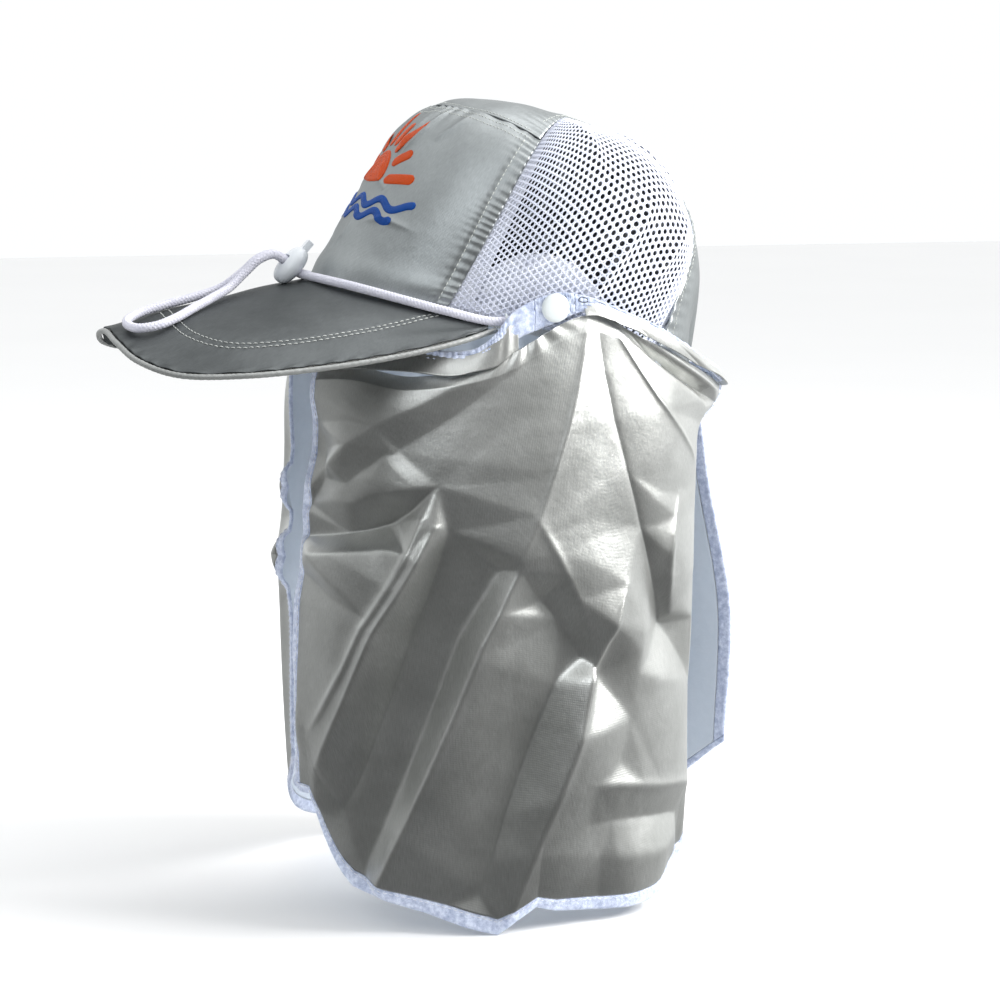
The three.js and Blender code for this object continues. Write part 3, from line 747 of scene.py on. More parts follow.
def floor_paint(name):
    material, tree, shader = node_material(name, (0.93, 0.93, 0.93), 0.9)
    tint(tree, shader, noise(tree, object_coordinates(tree), 2, 2), (0.92, 0.92, 0.92),
         (0.95, 0.95, 0.95))
    return material


SILVER = silver_cloth("silver_cloth", (0.30, 0.32, 0.325), (0.46, 0.49, 0.495), 0.40, 0.75, 0.45)
# The brim's cover is the crown's silver cloth; this darker copy with a weaker edge tint is painted
# shade for the dim reflections on the brim.
SHADED_BRIM_SILVER = silver_cloth("brim_silver_painted_shade", (0.09, 0.098, 0.10), (0.16, 0.172, 0.176), 0.42, 0.7,
                           0.25)
VEIL_SILVER = silver_cloth("veil_silver", (0.50, 0.51, 0.49), (0.72, 0.73, 0.71), 0.34, 0.88)
VEIL_INSIDE = plain_cloth("veil_inside", (0.55, 0.62, 0.70), (0.66, 0.72, 0.80), 0.0006, 0.7,
                          0.00006)
NET = plain_cloth("white_net", (0.64, 0.68, 0.82), (0.82, 0.85, 0.95), 0.0004, 0.8)
WHITE_CLOTH = plain_cloth("white_cloth", (0.84, 0.87, 0.95), (0.93, 0.95, 1.0), 0.0005)
COTTON = plain_cloth("sweatband_cotton", (0.70, 0.70, 0.68), (0.84, 0.84, 0.81), 0.0008)
LINING = plain_cloth("lining_cloth", (0.50, 0.53, 0.58), (0.62, 0.65, 0.70), 0.0007)
# Painted shade: the dark sheet that lies behind the net.
PAINTED_SHADE_SHEET = painted_shade_sheet_cloth("painted_shade_scrim")
ELASTIC = plain_cloth("elastic_web", (0.74, 0.74, 0.76), (0.88, 0.88, 0.90), 0.001)
TAPE = bound_tape("white_tape")
CORD = plain_cloth("braided_cord", (0.66, 0.66, 0.80), (0.90, 0.90, 0.97), 0.0005, 0.75)
PIPING = silver_cloth("piping_cloth", (0.28, 0.29, 0.285), (0.44, 0.45, 0.44), 0.45, 0.5)
PLASTIC = moulded_plastic("white_plastic", (0.80, 0.84, 0.88), 0.3)
SNAP_PLASTIC = moulded_plastic("snap_plastic", (0.72, 0.77, 0.78), 0.38)
BOARD = moulded_plastic("board_plastic", (0.66, 0.66, 0.64), 0.55)
STEEL = spring_wire("spring_steel")
GREY_THREAD = thread("grey_thread", (0.74, 0.77, 0.72))
BRIM_THREAD = thread("brim_thread", (0.55, 0.57, 0.55))
WHITE_THREAD = thread("white_thread", (0.80, 0.83, 0.92))
DARK_THREAD = thread("dark_thread", (0.10, 0.12, 0.17))
ORANGE = satin_stitch("orange_thread", (0.95, 0.105, 0.002))
BLUE = satin_stitch("blue_thread", (0.003, 0.10, 0.50))


# ---------------------------------------------------------------- camera, floor and light
def look_at(obj, target):
    direction = Vector(target) - obj.location
    obj.rotation_euler = direction.to_track_quat("-Z", "Y").to_euler()


def make_camera():
    azimuth, elevation, distance = math.radians(72), math.radians(9), 1.25
    target = Vector((0, 0, -0.095))
    away = Vector((math.sin(azimuth) * math.cos(elevation),
                   -math.cos(azimuth) * math.cos(elevation), math.sin(elevation)))
    data = bpy.data.cameras.new("camera")
    data.sensor_width = 36
    data.lens = 86.04
    camera = linked("camera", data)
    camera.location = target + away * distance
    look_at(camera, target)
    bpy.context.scene.camera = camera


def area_light(name, place, target, size, power, color=(1, 1, 1)):
    data = bpy.data.lights.new(name, "AREA")
    data.shape = "RECTANGLE"
    data.size, data.size_y = size
    data.energy = power
    data.color = color
    light = linked(name, data)
    light.location = place
    look_at(light, target)


def make_world():
    """Soft surroundings: pale above and behind the object, darker in front of it and below."""
    pale_side = Vector((-0.45, 0.35, 0.82)).normalized()
    dark = (0.05, 0.052, 0.056, 1)
    steps = ((0.24, 0.06), (0.35, 0.20), (0.43, 0.36), (0.56, 0.40), (0.68, 1.0))
    world = bpy.data.worlds.new("studio")
    world.use_nodes = True
    tree = world.node_tree
    place = add_node(tree, "ShaderNodeTexCoord")
    side = add_node(tree, "ShaderNodeVectorMath", operation="DOT_PRODUCT")
    side.inputs[1].default_value = pale_side
    tree.links.new(place.outputs["Generated"], side.inputs[0])
    span = add_node(tree, "ShaderNodeMapRange")
    span.inputs["From Min"].default_value = -1
    tree.links.new(side.outputs["Value"], span.inputs["Value"])
    ramp = add_node(tree, "ShaderNodeValToRGB")
    ramp.color_ramp.elements[0].color = dark
    for position, grey in steps:
        ramp.color_ramp.elements.new(position).color = (grey, 1.02 * grey, 1.03 * grey, 1)
    ramp.color_ramp.elements[-1].color = (1, 1, 1, 1)
    tree.links.new(span.outputs["Result"], ramp.inputs["Fac"])
    tree.links.new(ramp.outputs["Color"], tree.nodes["Background"].inputs["Color"])
    bpy.context.scene.world = world


def make_studio():
    make_world()
    area_light("key", (0.55, 1.1, 0.65), (0, 0, -0.08), (0.7, 0.7), 27, (1.0, 0.99, 0.98))
    area_light("top", (-0.1, 0.1, 1.3), (0, 0, -0.05), (0.9, 0.9), 3)
    area_light("front", (0.9, -1.0, 0.9), (0, 0, -0.1), (0.6, 0.6), 3.5, (0.94, 0.97, 1.0))
    data = bpy.data.lights.new("sky", "SUN")
    data.energy = 0.4
    data.angle = math.radians(70)
    linked("sky", data).rotation_euler = (math.radians(-25), math.radians(-10), 0)
    bpy.context.scene.view_settings.view_transform = "Standard"


def make_floor():
    """A plain pale floor just under the hem."""
    reach = 6000
    floor_z = cad_box[0][2] / MM - 1
    corners = [(x * reach, y * reach, floor_z) for x, y in ((-1, -1), (1, -1), (1, 1), (-1, 1))]
    floor = new_object("floor", corners, [(0, 1, 2, 3)], None, [floor_paint("floor_paint")])
    floor.visible_glossy = False


make_camera()
make_studio()
make_floor()


# ---------------------------------------------------------------- tubes and cord
def travelling_frames(points):
    """Side and lift directions carried along a line without twisting."""
    t = np.gradient(points, axis=0)
    t /= np.linalg.norm(t, axis=1, keepdims=True)
    side = np.zeros_like(t)
    s = np.cross(t[0], (0, 0, 1))
    s /= np.linalg.norm(s)
    for k in range(len(t)):
        s = s - t[k] * np.dot(s, t[k])
        s /= np.linalg.norm(s)
        side[k] = s
    return side, np.cross(t, side)


def tube_object(name, points, radius, sides, material):
    """radius is a number or a function of (angle, distance) grids."""
    side, lift = travelling_frames(points)
    run = run_along(points)
    angle = np.linspace(0, 2 * math.pi, sides, endpoint=False)
    r = radius(angle[None], run[:, None]) if callable(radius) else radius
    r = np.broadcast_to(r, (len(points), sides))[..., None]
    verts = (points[:, None] + side[:, None] * np.cos(angle)[None, :, None] * r
             + lift[:, None] * np.sin(angle)[None, :, None] * r)
    uvs = np.stack([np.broadcast_to(angle[None] * CORD_RADIUS, r.shape[:2]),
                    np.broadcast_to(run[:, None], r.shape[:2])], -1).reshape(-1, 2)
    return face_outwards(new_object(name, verts.reshape(-1, 3), tube_faces(sides, len(points)),
                                    uvs, [material]))


CORD_SIDE = [[84.6, -22.5, 0.85], [83, -32, -1.9], [75.5, -53, -2.1],
             [63, -72.5, -1.6], [45, -90, -1], [28, -99.9, -1], [15, -103.6, -1.1]]
CORD_IN_LOCK = [[8, -104.8, -1.2], [3.5, -108.4, -0.9], [2.4, -113.4, 1.6],
                [2.4, -118.4, 4.1], [2.4, -124, 5.3], [2.6, -130.6, 1.4], [3, -136.6, -6.8]]
CORD_LOOP = [[6, -143, -15.5], [13, -151.5, -22.1], [22, -161, -28.5],
             [29.5, -170.5, -35.4], [33, -179.5, -40.9], [31, -187, -44],
             [22.5, -190.8, -44.2], [12, -190, -42.1], [4, -183, -37.4], [0, -171.5, -31.3],
             [-2, -158, -24.5], [-3, -145, -16.5]]


def mirror_back(points):
    return [[-x, y, z] for x, y, z in points[::-1]]


def braid(angle, run):
    """Round braid: two families of strands that climb opposite ways."""
    strands, pitch = 8, 7.0
    one = np.cos(strands * angle / 2 + 2 * math.pi * run / pitch * 4)
    two = np.cos(strands * angle / 2 - 2 * math.pi * run / pitch * 4)
    over = np.cos(strands * angle / 2) * np.cos(2 * math.pi * run / pitch * 4)
    return CORD_RADIUS - 0.08 + 0.16 * np.where(over > 0, one, two)


def make_cord():
    route = (CORD_SIDE + CORD_IN_LOCK + CORD_LOOP + mirror_back(CORD_IN_LOCK)
             + mirror_back(CORD_SIDE))
    line = worn(Smooth(route).evenly(0.3))
    cord = tube_object("drawcord_braid", line, braid, 40, CORD)
    placed(cord, "root", "braided_cord", "drawcord")


# ---------------------------------------------------------------- turned and moulded pieces
def turned(profile, segments=72):
    """Verts and faces of a [radius, height] profile turned about +Z, closed on the axis."""
    verts, faces, rings = [], [], []
    for r, h in profile:
        if r < 1e-9:
            rings.append([len(verts)])
            verts.append((0, 0, h))
            continue
        rings.append(list(range(len(verts), len(verts) + segments)))
        for k in range(segments):
            a = 2 * math.pi * k / segments
            verts.append((r * math.cos(a), r * math.sin(a), h))
    for low, high in zip(rings, rings[1:]):
        for k in range(segments):
            m = (k + 1) % segments
            if len(low) == 1:
                faces.append((low[0], high[m], high[k]))
            elif len(high) == 1:
                faces.append((low[k], low[m], high[0]))
            else:
                faces.append((low[k], low[m], high[m], high[k]))
    return np.array(verts, float), faces


def bevelled(obj, width, segments=3):
    bevel = obj.modifiers.new("edges", "BEVEL")
    bevel.width = width * MM
    bevel.segments = segments
    bevel.limit_method = "ANGLE"
    bevel.angle_limit = math.radians(35)
    bevel.harden_normals = False
    return apply_modifiers(obj)


def box_object(name, width, depth, z0, z1):
    x, y = width / 2, depth / 2
    outline = ((-x, -y), (x, -y), (x, y), (-x, y))
    verts = [(*corner, z) for z in (z0, z1) for corner in outline]
    faces = [(3, 2, 1, 0), (4, 5, 6, 7), (0, 1, 5, 4), (1, 2, 6, 5), (2, 3, 7, 6), (3, 0, 4, 7)]
    return new_object(name, verts, faces, None, [PLASTIC])


def boolean(obj, tool, operation):
    modifier = obj.modifiers.new("cut", "BOOLEAN")
    modifier.object = tool
    modifier.operation = operation
    modifier.solver = "EXACT"
    apply_modifiers(obj)
    bpy.data.objects.remove(tool)
    return obj


def lock_frame():
    lean = Matrix.Rotation(LOCK_LEAN - math.pi / 2, 4, "X")
    place = Matrix.Translation(Vector(LOCK_CENTRE) * MM)
    return Matrix.Rotation(-TILT, 4, "X") @ place @ lean


def lock_shell():
    """The egg, flattened front to back, with a tunnel for the cord and a pocket for the button."""
    half_length, radius, half_width, steps = 10.5, 5.6, 9, 40
    profile = []
    for k in range(steps + 1):
        a = -math.pi / 2 + math.pi * k / steps
        profile.append((0 if k in (0, steps) else radius * math.cos(a) ** 0.7,
                        half_length * math.sin(a)))
    verts, faces = turned(profile)
    verts[:, 0] *= half_width / radius
    body = face_outwards(new_object("cord_lock_body_shell", verts, faces, None, [PLASTIC]))
    boolean(body, box_object("pocket", 11.8, 4.2, -7.2, 7.1), "DIFFERENCE")
    boolean(body, box_object("neck", 5, 4, 0, 20), "DIFFERENCE")
    boolean(body, bevelled(box_object("tunnel", 10.4, 30, -2.9, 2.9), 1.2), "DIFFERENCE")
    well = new_object("well", *turned([(0, -9.3), (2, -9.3), (2, 0), (0, 0)], 32))
    boolean(body, face_outwards(well), "DIFFERENCE")
    return bevelled(body, 0.35, 2)


def lock_button():
    plunger = box_object("cord_lock_button", 11.2, 3.6, -4.1, 6.8)
    boolean(plunger, box_object("nub", 4.4, 3.4, 0, 15.4), "UNION")
    boolean(plunger, box_object("slot", 9.8, 10, -2.9, 5.5), "DIFFERENCE")
    return bevelled(plunger, 0.6)


def make_lock():
    body, plunger = lock_shell(), lock_button()
    for piece, body_name, node in ((body, "cord_lock", "cord_lock_body"),
                                   (plunger, "lock_plunger", "cord_lock_plunger")):
        piece.data.transform(lock_frame())
        piece.data.polygons.foreach_set("use_smooth", [True] * len(piece.data.polygons))
        piece.data.set_sharp_from_angle(angle=math.radians(40))
        placed(piece, body_name, "white_plastic", node)
    return [body, plunger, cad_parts["cord_lock_spring"]]


def snap_profiles():
    face = [(0, 90.5), (1.7, 90.5), (1.7, 89), (6.2, 89), (6.7, 89.15), (7, 89.6), (7, 90.2),
            (6.8, 90.75), (6.3, 91.2), (5.2, 91.55), (3.2, 91.76), (0, 91.8)]
    stud = [(0, 83), (1.6, 83), (2.2, 83.6), (2.2, 84.4), (1.7, 85), (1.7, 85.6), (4.6, 85.6),
            (4.6, 86.5), (1.3, 86.5), (1.3, 90.1), (0, 90.1)]
    socket = [(2.7, 82.4), (5.8, 82.4), (5.8, 84.6), (5.2, 85.2), (2.7, 85.2), (2.7, 82.4)]
    post = [(0, 77.9), (5, 77.9), (5, 79), (1.5, 79), (1.5, 82.2), (0, 82.2)]
    return {"cap": face, "stud": stud, "socket": socket, "post": post}


def make_snaps():
    for side in SIDES:
        for part, profile in snap_profiles().items():
            verts, faces = turned(profile)
            verts = verts[:, [2, 0, 1]] + np.array([0, SNAP_Y, SNAP_Z])
            if side == "right":
                verts = mirrored(verts)
            piece = new_object(f"snap_{part}_{side}_smooth", worn(verts), faces, None,
                               [SNAP_PLASTIC])
            face_outwards(piece)
            bevelled(piece, 0.18, 2)
            piece.data.set_sharp_from_angle(angle=math.radians(50))
            placed(piece, f"snap_{side}" if part in ("cap", "stud") else "root",
                   "white_plastic", f"snap_{part}_{side}")


# ---------------------------------------------------------------- stitches
def stitches(name, sheet, path, pitch, length, radius, material, body="root", lift=0.0):
    """A row of thread stitches along (u, v) points of a sheet, each one a small arched tube."""
    fine_u, fine_v = resampled(path, 1200)
    line, _ = sheet.at(fine_u, fine_v)
    run = run_along(line)
    starts = np.arange(0.4, run[-1] - length, pitch)
    rings, sides = 5, 6
    verts, faces = [], []
    angle = np.linspace(0, 2 * math.pi, sides, endpoint=False)
    for start in starts:
        marks = start + np.linspace(0, length, rings)
        u, v = np.interp(marks, run, fine_u), np.interp(marks, run, fine_v)
        arch = lift + radius * np.array([-0.7, 0.6, 0.8, 0.6, -0.7])
        centre, n = sheet.at(u, v, arch)
        t = np.gradient(centre, axis=0)
        b = np.cross(t, n)
        b /= np.linalg.norm(b, axis=1, keepdims=True)
        r = radius * np.array([0.45, 0.95, 1, 0.95, 0.45])[:, None, None]
        ring = (centre[:, None] + b[:, None] * np.cos(angle)[None, :, None] * r
                + n[:, None] * np.sin(angle)[None, :, None] * r)
        base = len(verts) * rings * sides
        verts.append(ring.reshape(-1, 3))
        faces += grid_faces(sides, rings, base, wrap_u=True)
        faces.append([base + k for k in range(sides)])
        faces.append([base + (rings - 1) * sides + k for k in range(sides)][::-1])
    obj = face_outwards(new_object(name, np.concatenate(verts), faces, None, [material]))
    if body:
        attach(obj, body)
    return obj


# ---------------------------------------------------------------- crown
FRONT_HEIGHT = 105
TOP_CREASES = [([(0.60, 0.98), (0.62, 0.84), (0.60, 0.70)], 1.5, 0.022),
               ([(0.69, 0.97), (0.68, 0.82), (0.64, 0.66)], 1.9, 0.020),
               ([(0.79, 0.96), (0.78, 0.85), (0.75, 0.76)], 1.1, 0.018),
               ([(0.54, 0.62), (0.60, 0.52), (0.67, 0.47)], 1.0, 0.024),
               ([(0.66, 0.30), (0.74, 0.33), (0.84, 0.31)], 1.1, 0.022),
               ([(0.58, 0.34), (0.56, 0.22), (0.52, 0.14)], 0.9, 0.020)]


def front_width(v):
    return 190 - 40 * v


def front_relief(u, v):
    gathers = np.sin(2 * math.pi * (15 * u + 0.4 * np.sin(19 * u)))
    out = 0.45 * gathers * np.clip((v - 0.80) / 0.2, 0, 1) ** 1.5
    out += ridges(u, v, TOP_CREASES) + 0.8 * ridges(1 - u, v, TOP_CREASES)
    out += 0.9 * np.exp(-((v - 0.07) / 0.055) ** 2)
    inside = np.minimum(u, 1 - u) * front_width(v)
    out -= 0.45 * np.exp(-((inside - 5) / 0.9) ** 2)
    pulled = np.sin(2 * math.pi * (24 * v + 0.5 * np.sin(13 * v)))
    out += 0.22 * pulled * np.exp(-(inside / 6) ** 2)
    return out + wrinkles(u, v, 3, 2.6, 0.5)


def strip_relief(u, v):
    rear = np.clip((v - 0.78) / 0.22, 0, 1) ** 1.4
    puckers = np.sin(2 * math.pi * (4.5 * u + 0.35 * np.sin(11 * u) + 0.3 * np.sin(14 * v)))
    out = 2.8 * rear * puckers + 0.35 * wrinkles(u, v, 5, 6, 1.0)
    edge = np.minimum(u, 1 - u)
    out += 0.25 * np.sin(2 * math.pi * 40 * v) * np.exp(-(edge / 0.08) ** 2)
    return out - 0.3 * np.exp(-((v - 0.012) / 0.006) ** 2)


def sun_rays(sheet):
    """A half sun: a domed disc over the wave line with rays round it, in front panel u and v."""
    middle, foot = 0.5, 0.50
    pieces = []

    def stroke(name, points, width, material):
        pieces.append(thread_stroke(name, sheet, points, width, material))

    def polar(radius, degrees):
        a = math.radians(degrees)
        v = foot + radius * math.sin(a) / FRONT_HEIGHT
        return middle + radius * math.cos(a) / front_width(v), v

    for k, radius in enumerate(np.arange(2.0, 18.1, 2.3)):
        stroke(f"sun_ring_{k}", [polar(radius, a) for a in range(2, 179, 6)], 2.8, ORANGE)
    for k, angle in enumerate(range(6, 180, 24)):
        reach = 46 if k % 2 == 0 else 38
        stroke(f"sun_ray_{k}", [polar(r, angle) for r in (23, 29, reach)], 5.6, ORANGE)
    for k, (low, span) in enumerate(((0.40, 56), (0.335, 48))):
        crest = [(middle + x / front_width(low), low + 0.022 * math.sin(x / 3.9))
                 for x in np.arange(-span, span + 0.1, 1.0)]
        stroke(f"wave_{k}", crest, 4.2, BLUE)
    return pieces


def thread_stroke(name, sheet, points, width, material):
    """A raised band of embroidery along (u, v) points, domed across and rounded at its ends."""
    line, n = sheet.at(*resampled(points, max(24, 4 * len(points))))
    t = np.gradient(line, axis=0)
    t /= np.linalg.norm(t, axis=1, keepdims=True)
    b = np.cross(t, n)
    run = run_along(line)
    taper = np.clip(np.minimum(run, run[-1] - run) / (0.35 * width), 0, 1)
    half = width / 2 * np.sqrt(0.12 + 0.88 * taper)
    s = np.linspace(-1, 1, 9)
    dome = 0.1 + 0.5 * (1 - s ** 2) ** 0.5
    verts = (line[:, None] + b[:, None] * (half[:, None] * s)[..., None]
             + n[:, None] * (dome[None] * (0.4 + 0.6 * taper[:, None]))[..., None])
    low = (line[:, None] + b[:, None] * (half[:, None] * s[::-1])[..., None]
           - n[:, None] * 0.15)
    ring = np.concatenate([verts, low], 1)
    count = ring.shape[1]
    along = np.repeat(run, count)
    return face_outwards(new_object(name, ring.reshape(-1, 3), tube_faces(count, len(line)),
                                    np.stack([along, along * 0], -1), [material]))


def make_front():
    front = Sheet(front_surface, (0.002, 0.998), (0, 0.998), (300, 240), front_relief)
    placed(sheet_object("front_panel_cloth", front, 1.0, SILVER, LINING), "root",
           "silver_cloth", "front_panel")
    lining = Sheet(front_surface, (0.04, 0.96), (0.04, 0.95), (90, 70), lift=-2.2,
                   relief=lambda u, v: wrinkles(u, v, 4, 4, 0.35))
    placed(sheet_object("front_lining_cloth", lining, 0.5, LINING), "root", "lining_cloth",
           "front_lining")
    placed(joined("front_embroidery", sun_rays(front)), "root")
    heights = np.linspace(0.02, 0.965, 40)
    for side, sign in (("left", 1), ("right", -1)):
        u = 0.5 + sign * (0.5 - 5 / front_width(heights))
        stitches(f"seam_stitches_{side}", front, list(zip(u, heights)), 2.6, 2.0, 0.2,
                 GREY_THREAD)
    for k, v in enumerate((0.972, 0.938)):
        inset = 3 / front_width(v)
        stitches(f"top_stitches_{k}", front, [(inset, v), (1 - inset, v)], 2.2, 1.6, 0.18,
                 GREY_THREAD)


def make_strip():
    strip = Sheet(strip_surface, (0.003, 0.997), (0.001, 1), (110, 420), strip_relief)
    placed(sheet_object("crown_strip_cloth", strip, 1.0, SILVER, LINING), "root",
           "silver_cloth", "crown_strip")
    stitches("strip_stitches_front", strip, [(0.03, 0.011), (0.97, 0.011)], 2.2, 1.6, 0.18,
             GREY_THREAD)
    for side, u in (("left", 0.965), ("right", 0.035)):
        stitches(f"strip_stitches_{side}", strip, [(u, 0.07), (u, 0.99)], 2.6, 2.0, 0.18,
                 GREY_THREAD)


# ---------------------------------------------------------------- net sides
NET_WIDTH, NET_HEIGHT = 118, 108
NET_PITCH, NET_HOLE, NET_RIM, NET_CORNER = 3.0, 0.98, 1.24, 0.36
NET_THICKNESS = 0.45
NET_RIPPLES = [([(0.08, 0.08), (0.24, 0.20), (0.44, 0.38)], 3.0, 0.035),
               ([(0.54, 0.08), (0.62, 0.30), (0.68, 0.54)], 3.2, 0.032),
               ([(0.28, 0.90), (0.40, 0.70), (0.46, 0.55)], 2.2, 0.040),
               ([(0.60, 0.92), (0.72, 0.80), (0.90, 0.74)], 2.6, 0.035),
               ([(0.80, 0.20), (0.84, 0.42), (0.86, 0.60)], 1.8, 0.030)]


def net_relief(u, v):
    return wrinkles(u, v, 8, 3, 0.8) + ridges(u, v, NET_RIPPLES)


def net_cell(cx, cy):
    """Flat points of one cell: twelve round the hole, twelve on the rim, twelve on the border."""
    corner = NET_PITCH / math.sqrt(3)
    corners = [(corner * math.cos(math.radians(60 * k)), corner * math.sin(math.radians(60 * k)))
               for k in range(6)]
    share = NET_CORNER / corner
    border = []
    for k, (x, y) in enumerate(corners):
        for other in (corners[k - 1], corners[(k + 1) % 6]):
            border.append((cx + x + (other[0] - x) * share, cy + y + (other[1] - y) * share, 0.0))
    angles = [math.radians(60 * k + turn) for k in range(6) for turn in (-15, 15)]
    hole = [(cx + NET_HOLE * math.cos(a), cy + NET_HOLE * math.sin(a), -0.1) for a in angles]
    rim = [(cx + NET_RIM * math.cos(a), cy + NET_RIM * math.sin(a), 0.14) for a in angles]
    return hole, rim, border


def open_edges(faces):
    """Edges with a face on one side only, in the direction that face runs."""
    runs = {}
    for face in faces:
        for a, b in zip(face, face[1:] + face[:1]):
            runs[(a, b)] = runs.get((a, b), 0) + 1
    return [(a, b) for a, b in runs if (b, a) not in runs]


def flat_net():
    """Points, faces and flat places of the whole net: yarn on top, a plain back, and its edges."""
    points, known, top, back = [], {}, [], []

    def index(x, y, h):
        key = (round(x * 50), round(y * 50), round(h * 50))
        if key not in known:
            known[key] = len(points)
            points.append((x, y, h))
        return known[key]

    row = NET_PITCH * math.sqrt(3) / 2
    under = {}
    for i in range(int(NET_WIDTH / row)):
        for j in range(int(NET_HEIGHT / NET_PITCH)):
            cx = 0.9 + i * row
            cy = 0.9 + (j + 0.5 * (i % 2)) * NET_PITCH
            if cx > NET_WIDTH - 0.8 or cy > NET_HEIGHT - 0.8:
                continue
            rings = [[index(*p) for p in ring] for ring in net_cell(cx, cy)]
            low = [[index(points[k][0], points[k][1], -NET_THICKNESS) for k in ring]
                   for ring in (rings[0], rings[2])]
            for ring, lower in zip((rings[0], rings[2]), low):
                under.update(zip(ring, lower))
            for a, b in zip(rings, rings[1:]):
                top += [[a[k], a[(k + 1) % 12], b[(k + 1) % 12], b[k]] for k in range(12)]
            a, b = low
            back += [[b[k], b[(k + 1) % 12], a[(k + 1) % 12], a[k]] for k in range(12)]
    walls = [[b, a, under[a], under[b]] for a, b in open_edges(top)]
    return np.array(points), top + back + walls


def make_net(side):
    sheet = Sheet(on_side(side, mesh_surface), (0, 1), (0, 1), (240, 220), net_relief, -0.15)
    flat, faces = flat_net()
    verts, _ = sheet.at(flat[:, 0] / NET_WIDTH, flat[:, 1] / NET_HEIGHT, flat[:, 2])
    net = face_outwards(new_object(f"net_{side}", verts, faces, flat[:, :2], [NET]))
    placed(net, "root", "white_mesh", f"mesh_panel_{side}")
    edges = {"front": ((-0.03, 0.085), (0, 1), (30, 160)),
             "back": ((0.93, 1.03), (0, 1), (30, 160)),
             "top": ((0.06, 0.95), (0.925, 1.03), (160, 30)),
             "base": ((0.08, 0.94), (0, 0.05), (160, 18))}
    for name, (us, vs, size) in edges.items():
        tape = Sheet(on_side(side, mesh_surface), us, vs, size, net_relief, -1.0)
        placed(sheet_object(f"net_tape_{name}_{side}", tape, 0.7, WHITE_CLOTH), "root")
    patch = Sheet(on_side(side, patch_surface), size=(80, 60), lift=-1.7,
                  relief=lambda a, b: wrinkles(a, b, 9, 3, 0.3))
    placed(sheet_object(f"snap_patch_cloth_{side}", patch, 0.5, WHITE_CLOTH), "root",
           "lining_cloth", f"snap_patch_{side}")
    # A dark sheet under the net: painted shade for the inside of the crown, seen through the
    # holes.
    shade_sheet = Sheet(on_side(side, mesh_surface), (0.02, 0.98), (0.02, 0.98), (90, 80),
                  lambda u, v: wrinkles(u, v, 10, 4, 0.6), -3.6)
    placed(sheet_object(f"net_painted_shade_{side}", shade_sheet, 0.3, PAINTED_SHADE_SHEET), "root")


def elastic_ribs(u, v):
    return (0.3 * np.sin(2 * math.pi * 5 * v)
            + 0.35 * np.sin(2 * math.pi * 44 * u + 2 * np.sin(6 * v)))


def make_bands():
    end = math.radians(132)
    sweat = Sheet(band_surface(-end, end, -4, 24), size=(420, 40), lift=-4.6,
                  relief=lambda u, v: 0.35 * np.sin(2 * math.pi * 70 * u) * (v > 0.9)
                  + wrinkles(u, v, 12, 9, 0.3))
    placed(sheet_object("sweatband_cotton", sweat, 1.0, COTTON), "root", "sweatband_cloth",
           "sweatband")
    stitches("sweatband_stitches", sweat, [(0.01, 0.93), (0.99, 0.93)], 3.2, 2.4, 0.2,
             WHITE_THREAD)
    elastic = Sheet(band_surface(math.radians(140), math.radians(220), 1, 17), size=(420, 60),
                    lift=-2.3, relief=elastic_ribs)
    placed(sheet_object("back_elastic_web", elastic, 1.2, ELASTIC), "root", "elastic_web",
           "back_elastic")


# ---------------------------------------------------------------- brim
def brim_reach(u):
    root = base_point(BRIM_ROOT_ANGLE * (2 * u - 1), 1.2, BRIM_ROOT_Z)
    return np.linalg.norm(brim_edge(u) - root, axis=1)


# Distance of the two stitch rows from the brim's edge at the tip; they draw in towards the crown.
BRIM_ROWS = (26, 30.5)


def row_inset(tip, u):
    return tip + 15 * np.abs(2 * u - 1) ** 3


def brim_relief(u, v):
    inset = (1 - v) * brim_reach(u[0])[None]
    out = np.zeros(u.shape)
    for tip in BRIM_ROWS:
        away = inset - row_inset(tip, u)
        out -= 0.35 * np.exp(-(away / 0.8) ** 2)
        out += 0.07 * np.sin(2 * math.pi * 60 * u) * np.exp(-(away / 4) ** 2)
    out += 0.35 * np.sin(2 * math.pi * (38 * u + 0.4 * np.sin(31 * u))) * np.exp(-(inset / 3) ** 2)
    return out + wrinkles(u, v, 15, 2.5, 0.5)


def piping_radius(angle, run):
    """A rolled edge that swells a little along its length."""
    return 1.36 + 0.07 * np.sin(run * 2.1 + np.sin(run * 0.7)) + 0 * angle


def make_brim():
    for name, away_from in (("top", (0, -140, -400)), ("under", (0, -140, 400))):
        cover = Sheet(brim_surface(1.9), (0.012, 0.988), (0, 1), (360, 150), brim_relief,
                      COVER_OUT, away_from)
        placed(sheet_object(f"brim_{name}_cloth", cover, 0.7, SHADED_BRIM_SILVER), "root",
               "silver_cloth", f"brim_{name}_cover")
        for row, tip in enumerate(BRIM_ROWS):
            u = np.linspace(0.03, 0.97, 160)
            v = 1 - row_inset(tip, u) / brim_reach(u)
            path = [(a, b) for a, b in zip(u, v) if b > 0.04]
            stitches(f"brim_{name}_stitches_{row}", cover, path, 3.0, 2.5, 0.3, BRIM_THREAD)
    piping = tube_object("brim_piping_roll", worn(BRIM_EDGE.evenly(0.8)), piping_radius, 20,
                         PIPING)
    placed(piping, "root", "piping_cloth", "brim_piping")


# ---------------------------------------------------------------- eyelets and casing tape
EYELET_PLACE = (84.3, -25, 0)
RING_RADIUS, WIRE_ACROSS, WIRE_ALONG = 3.2, 0.42, 0.5


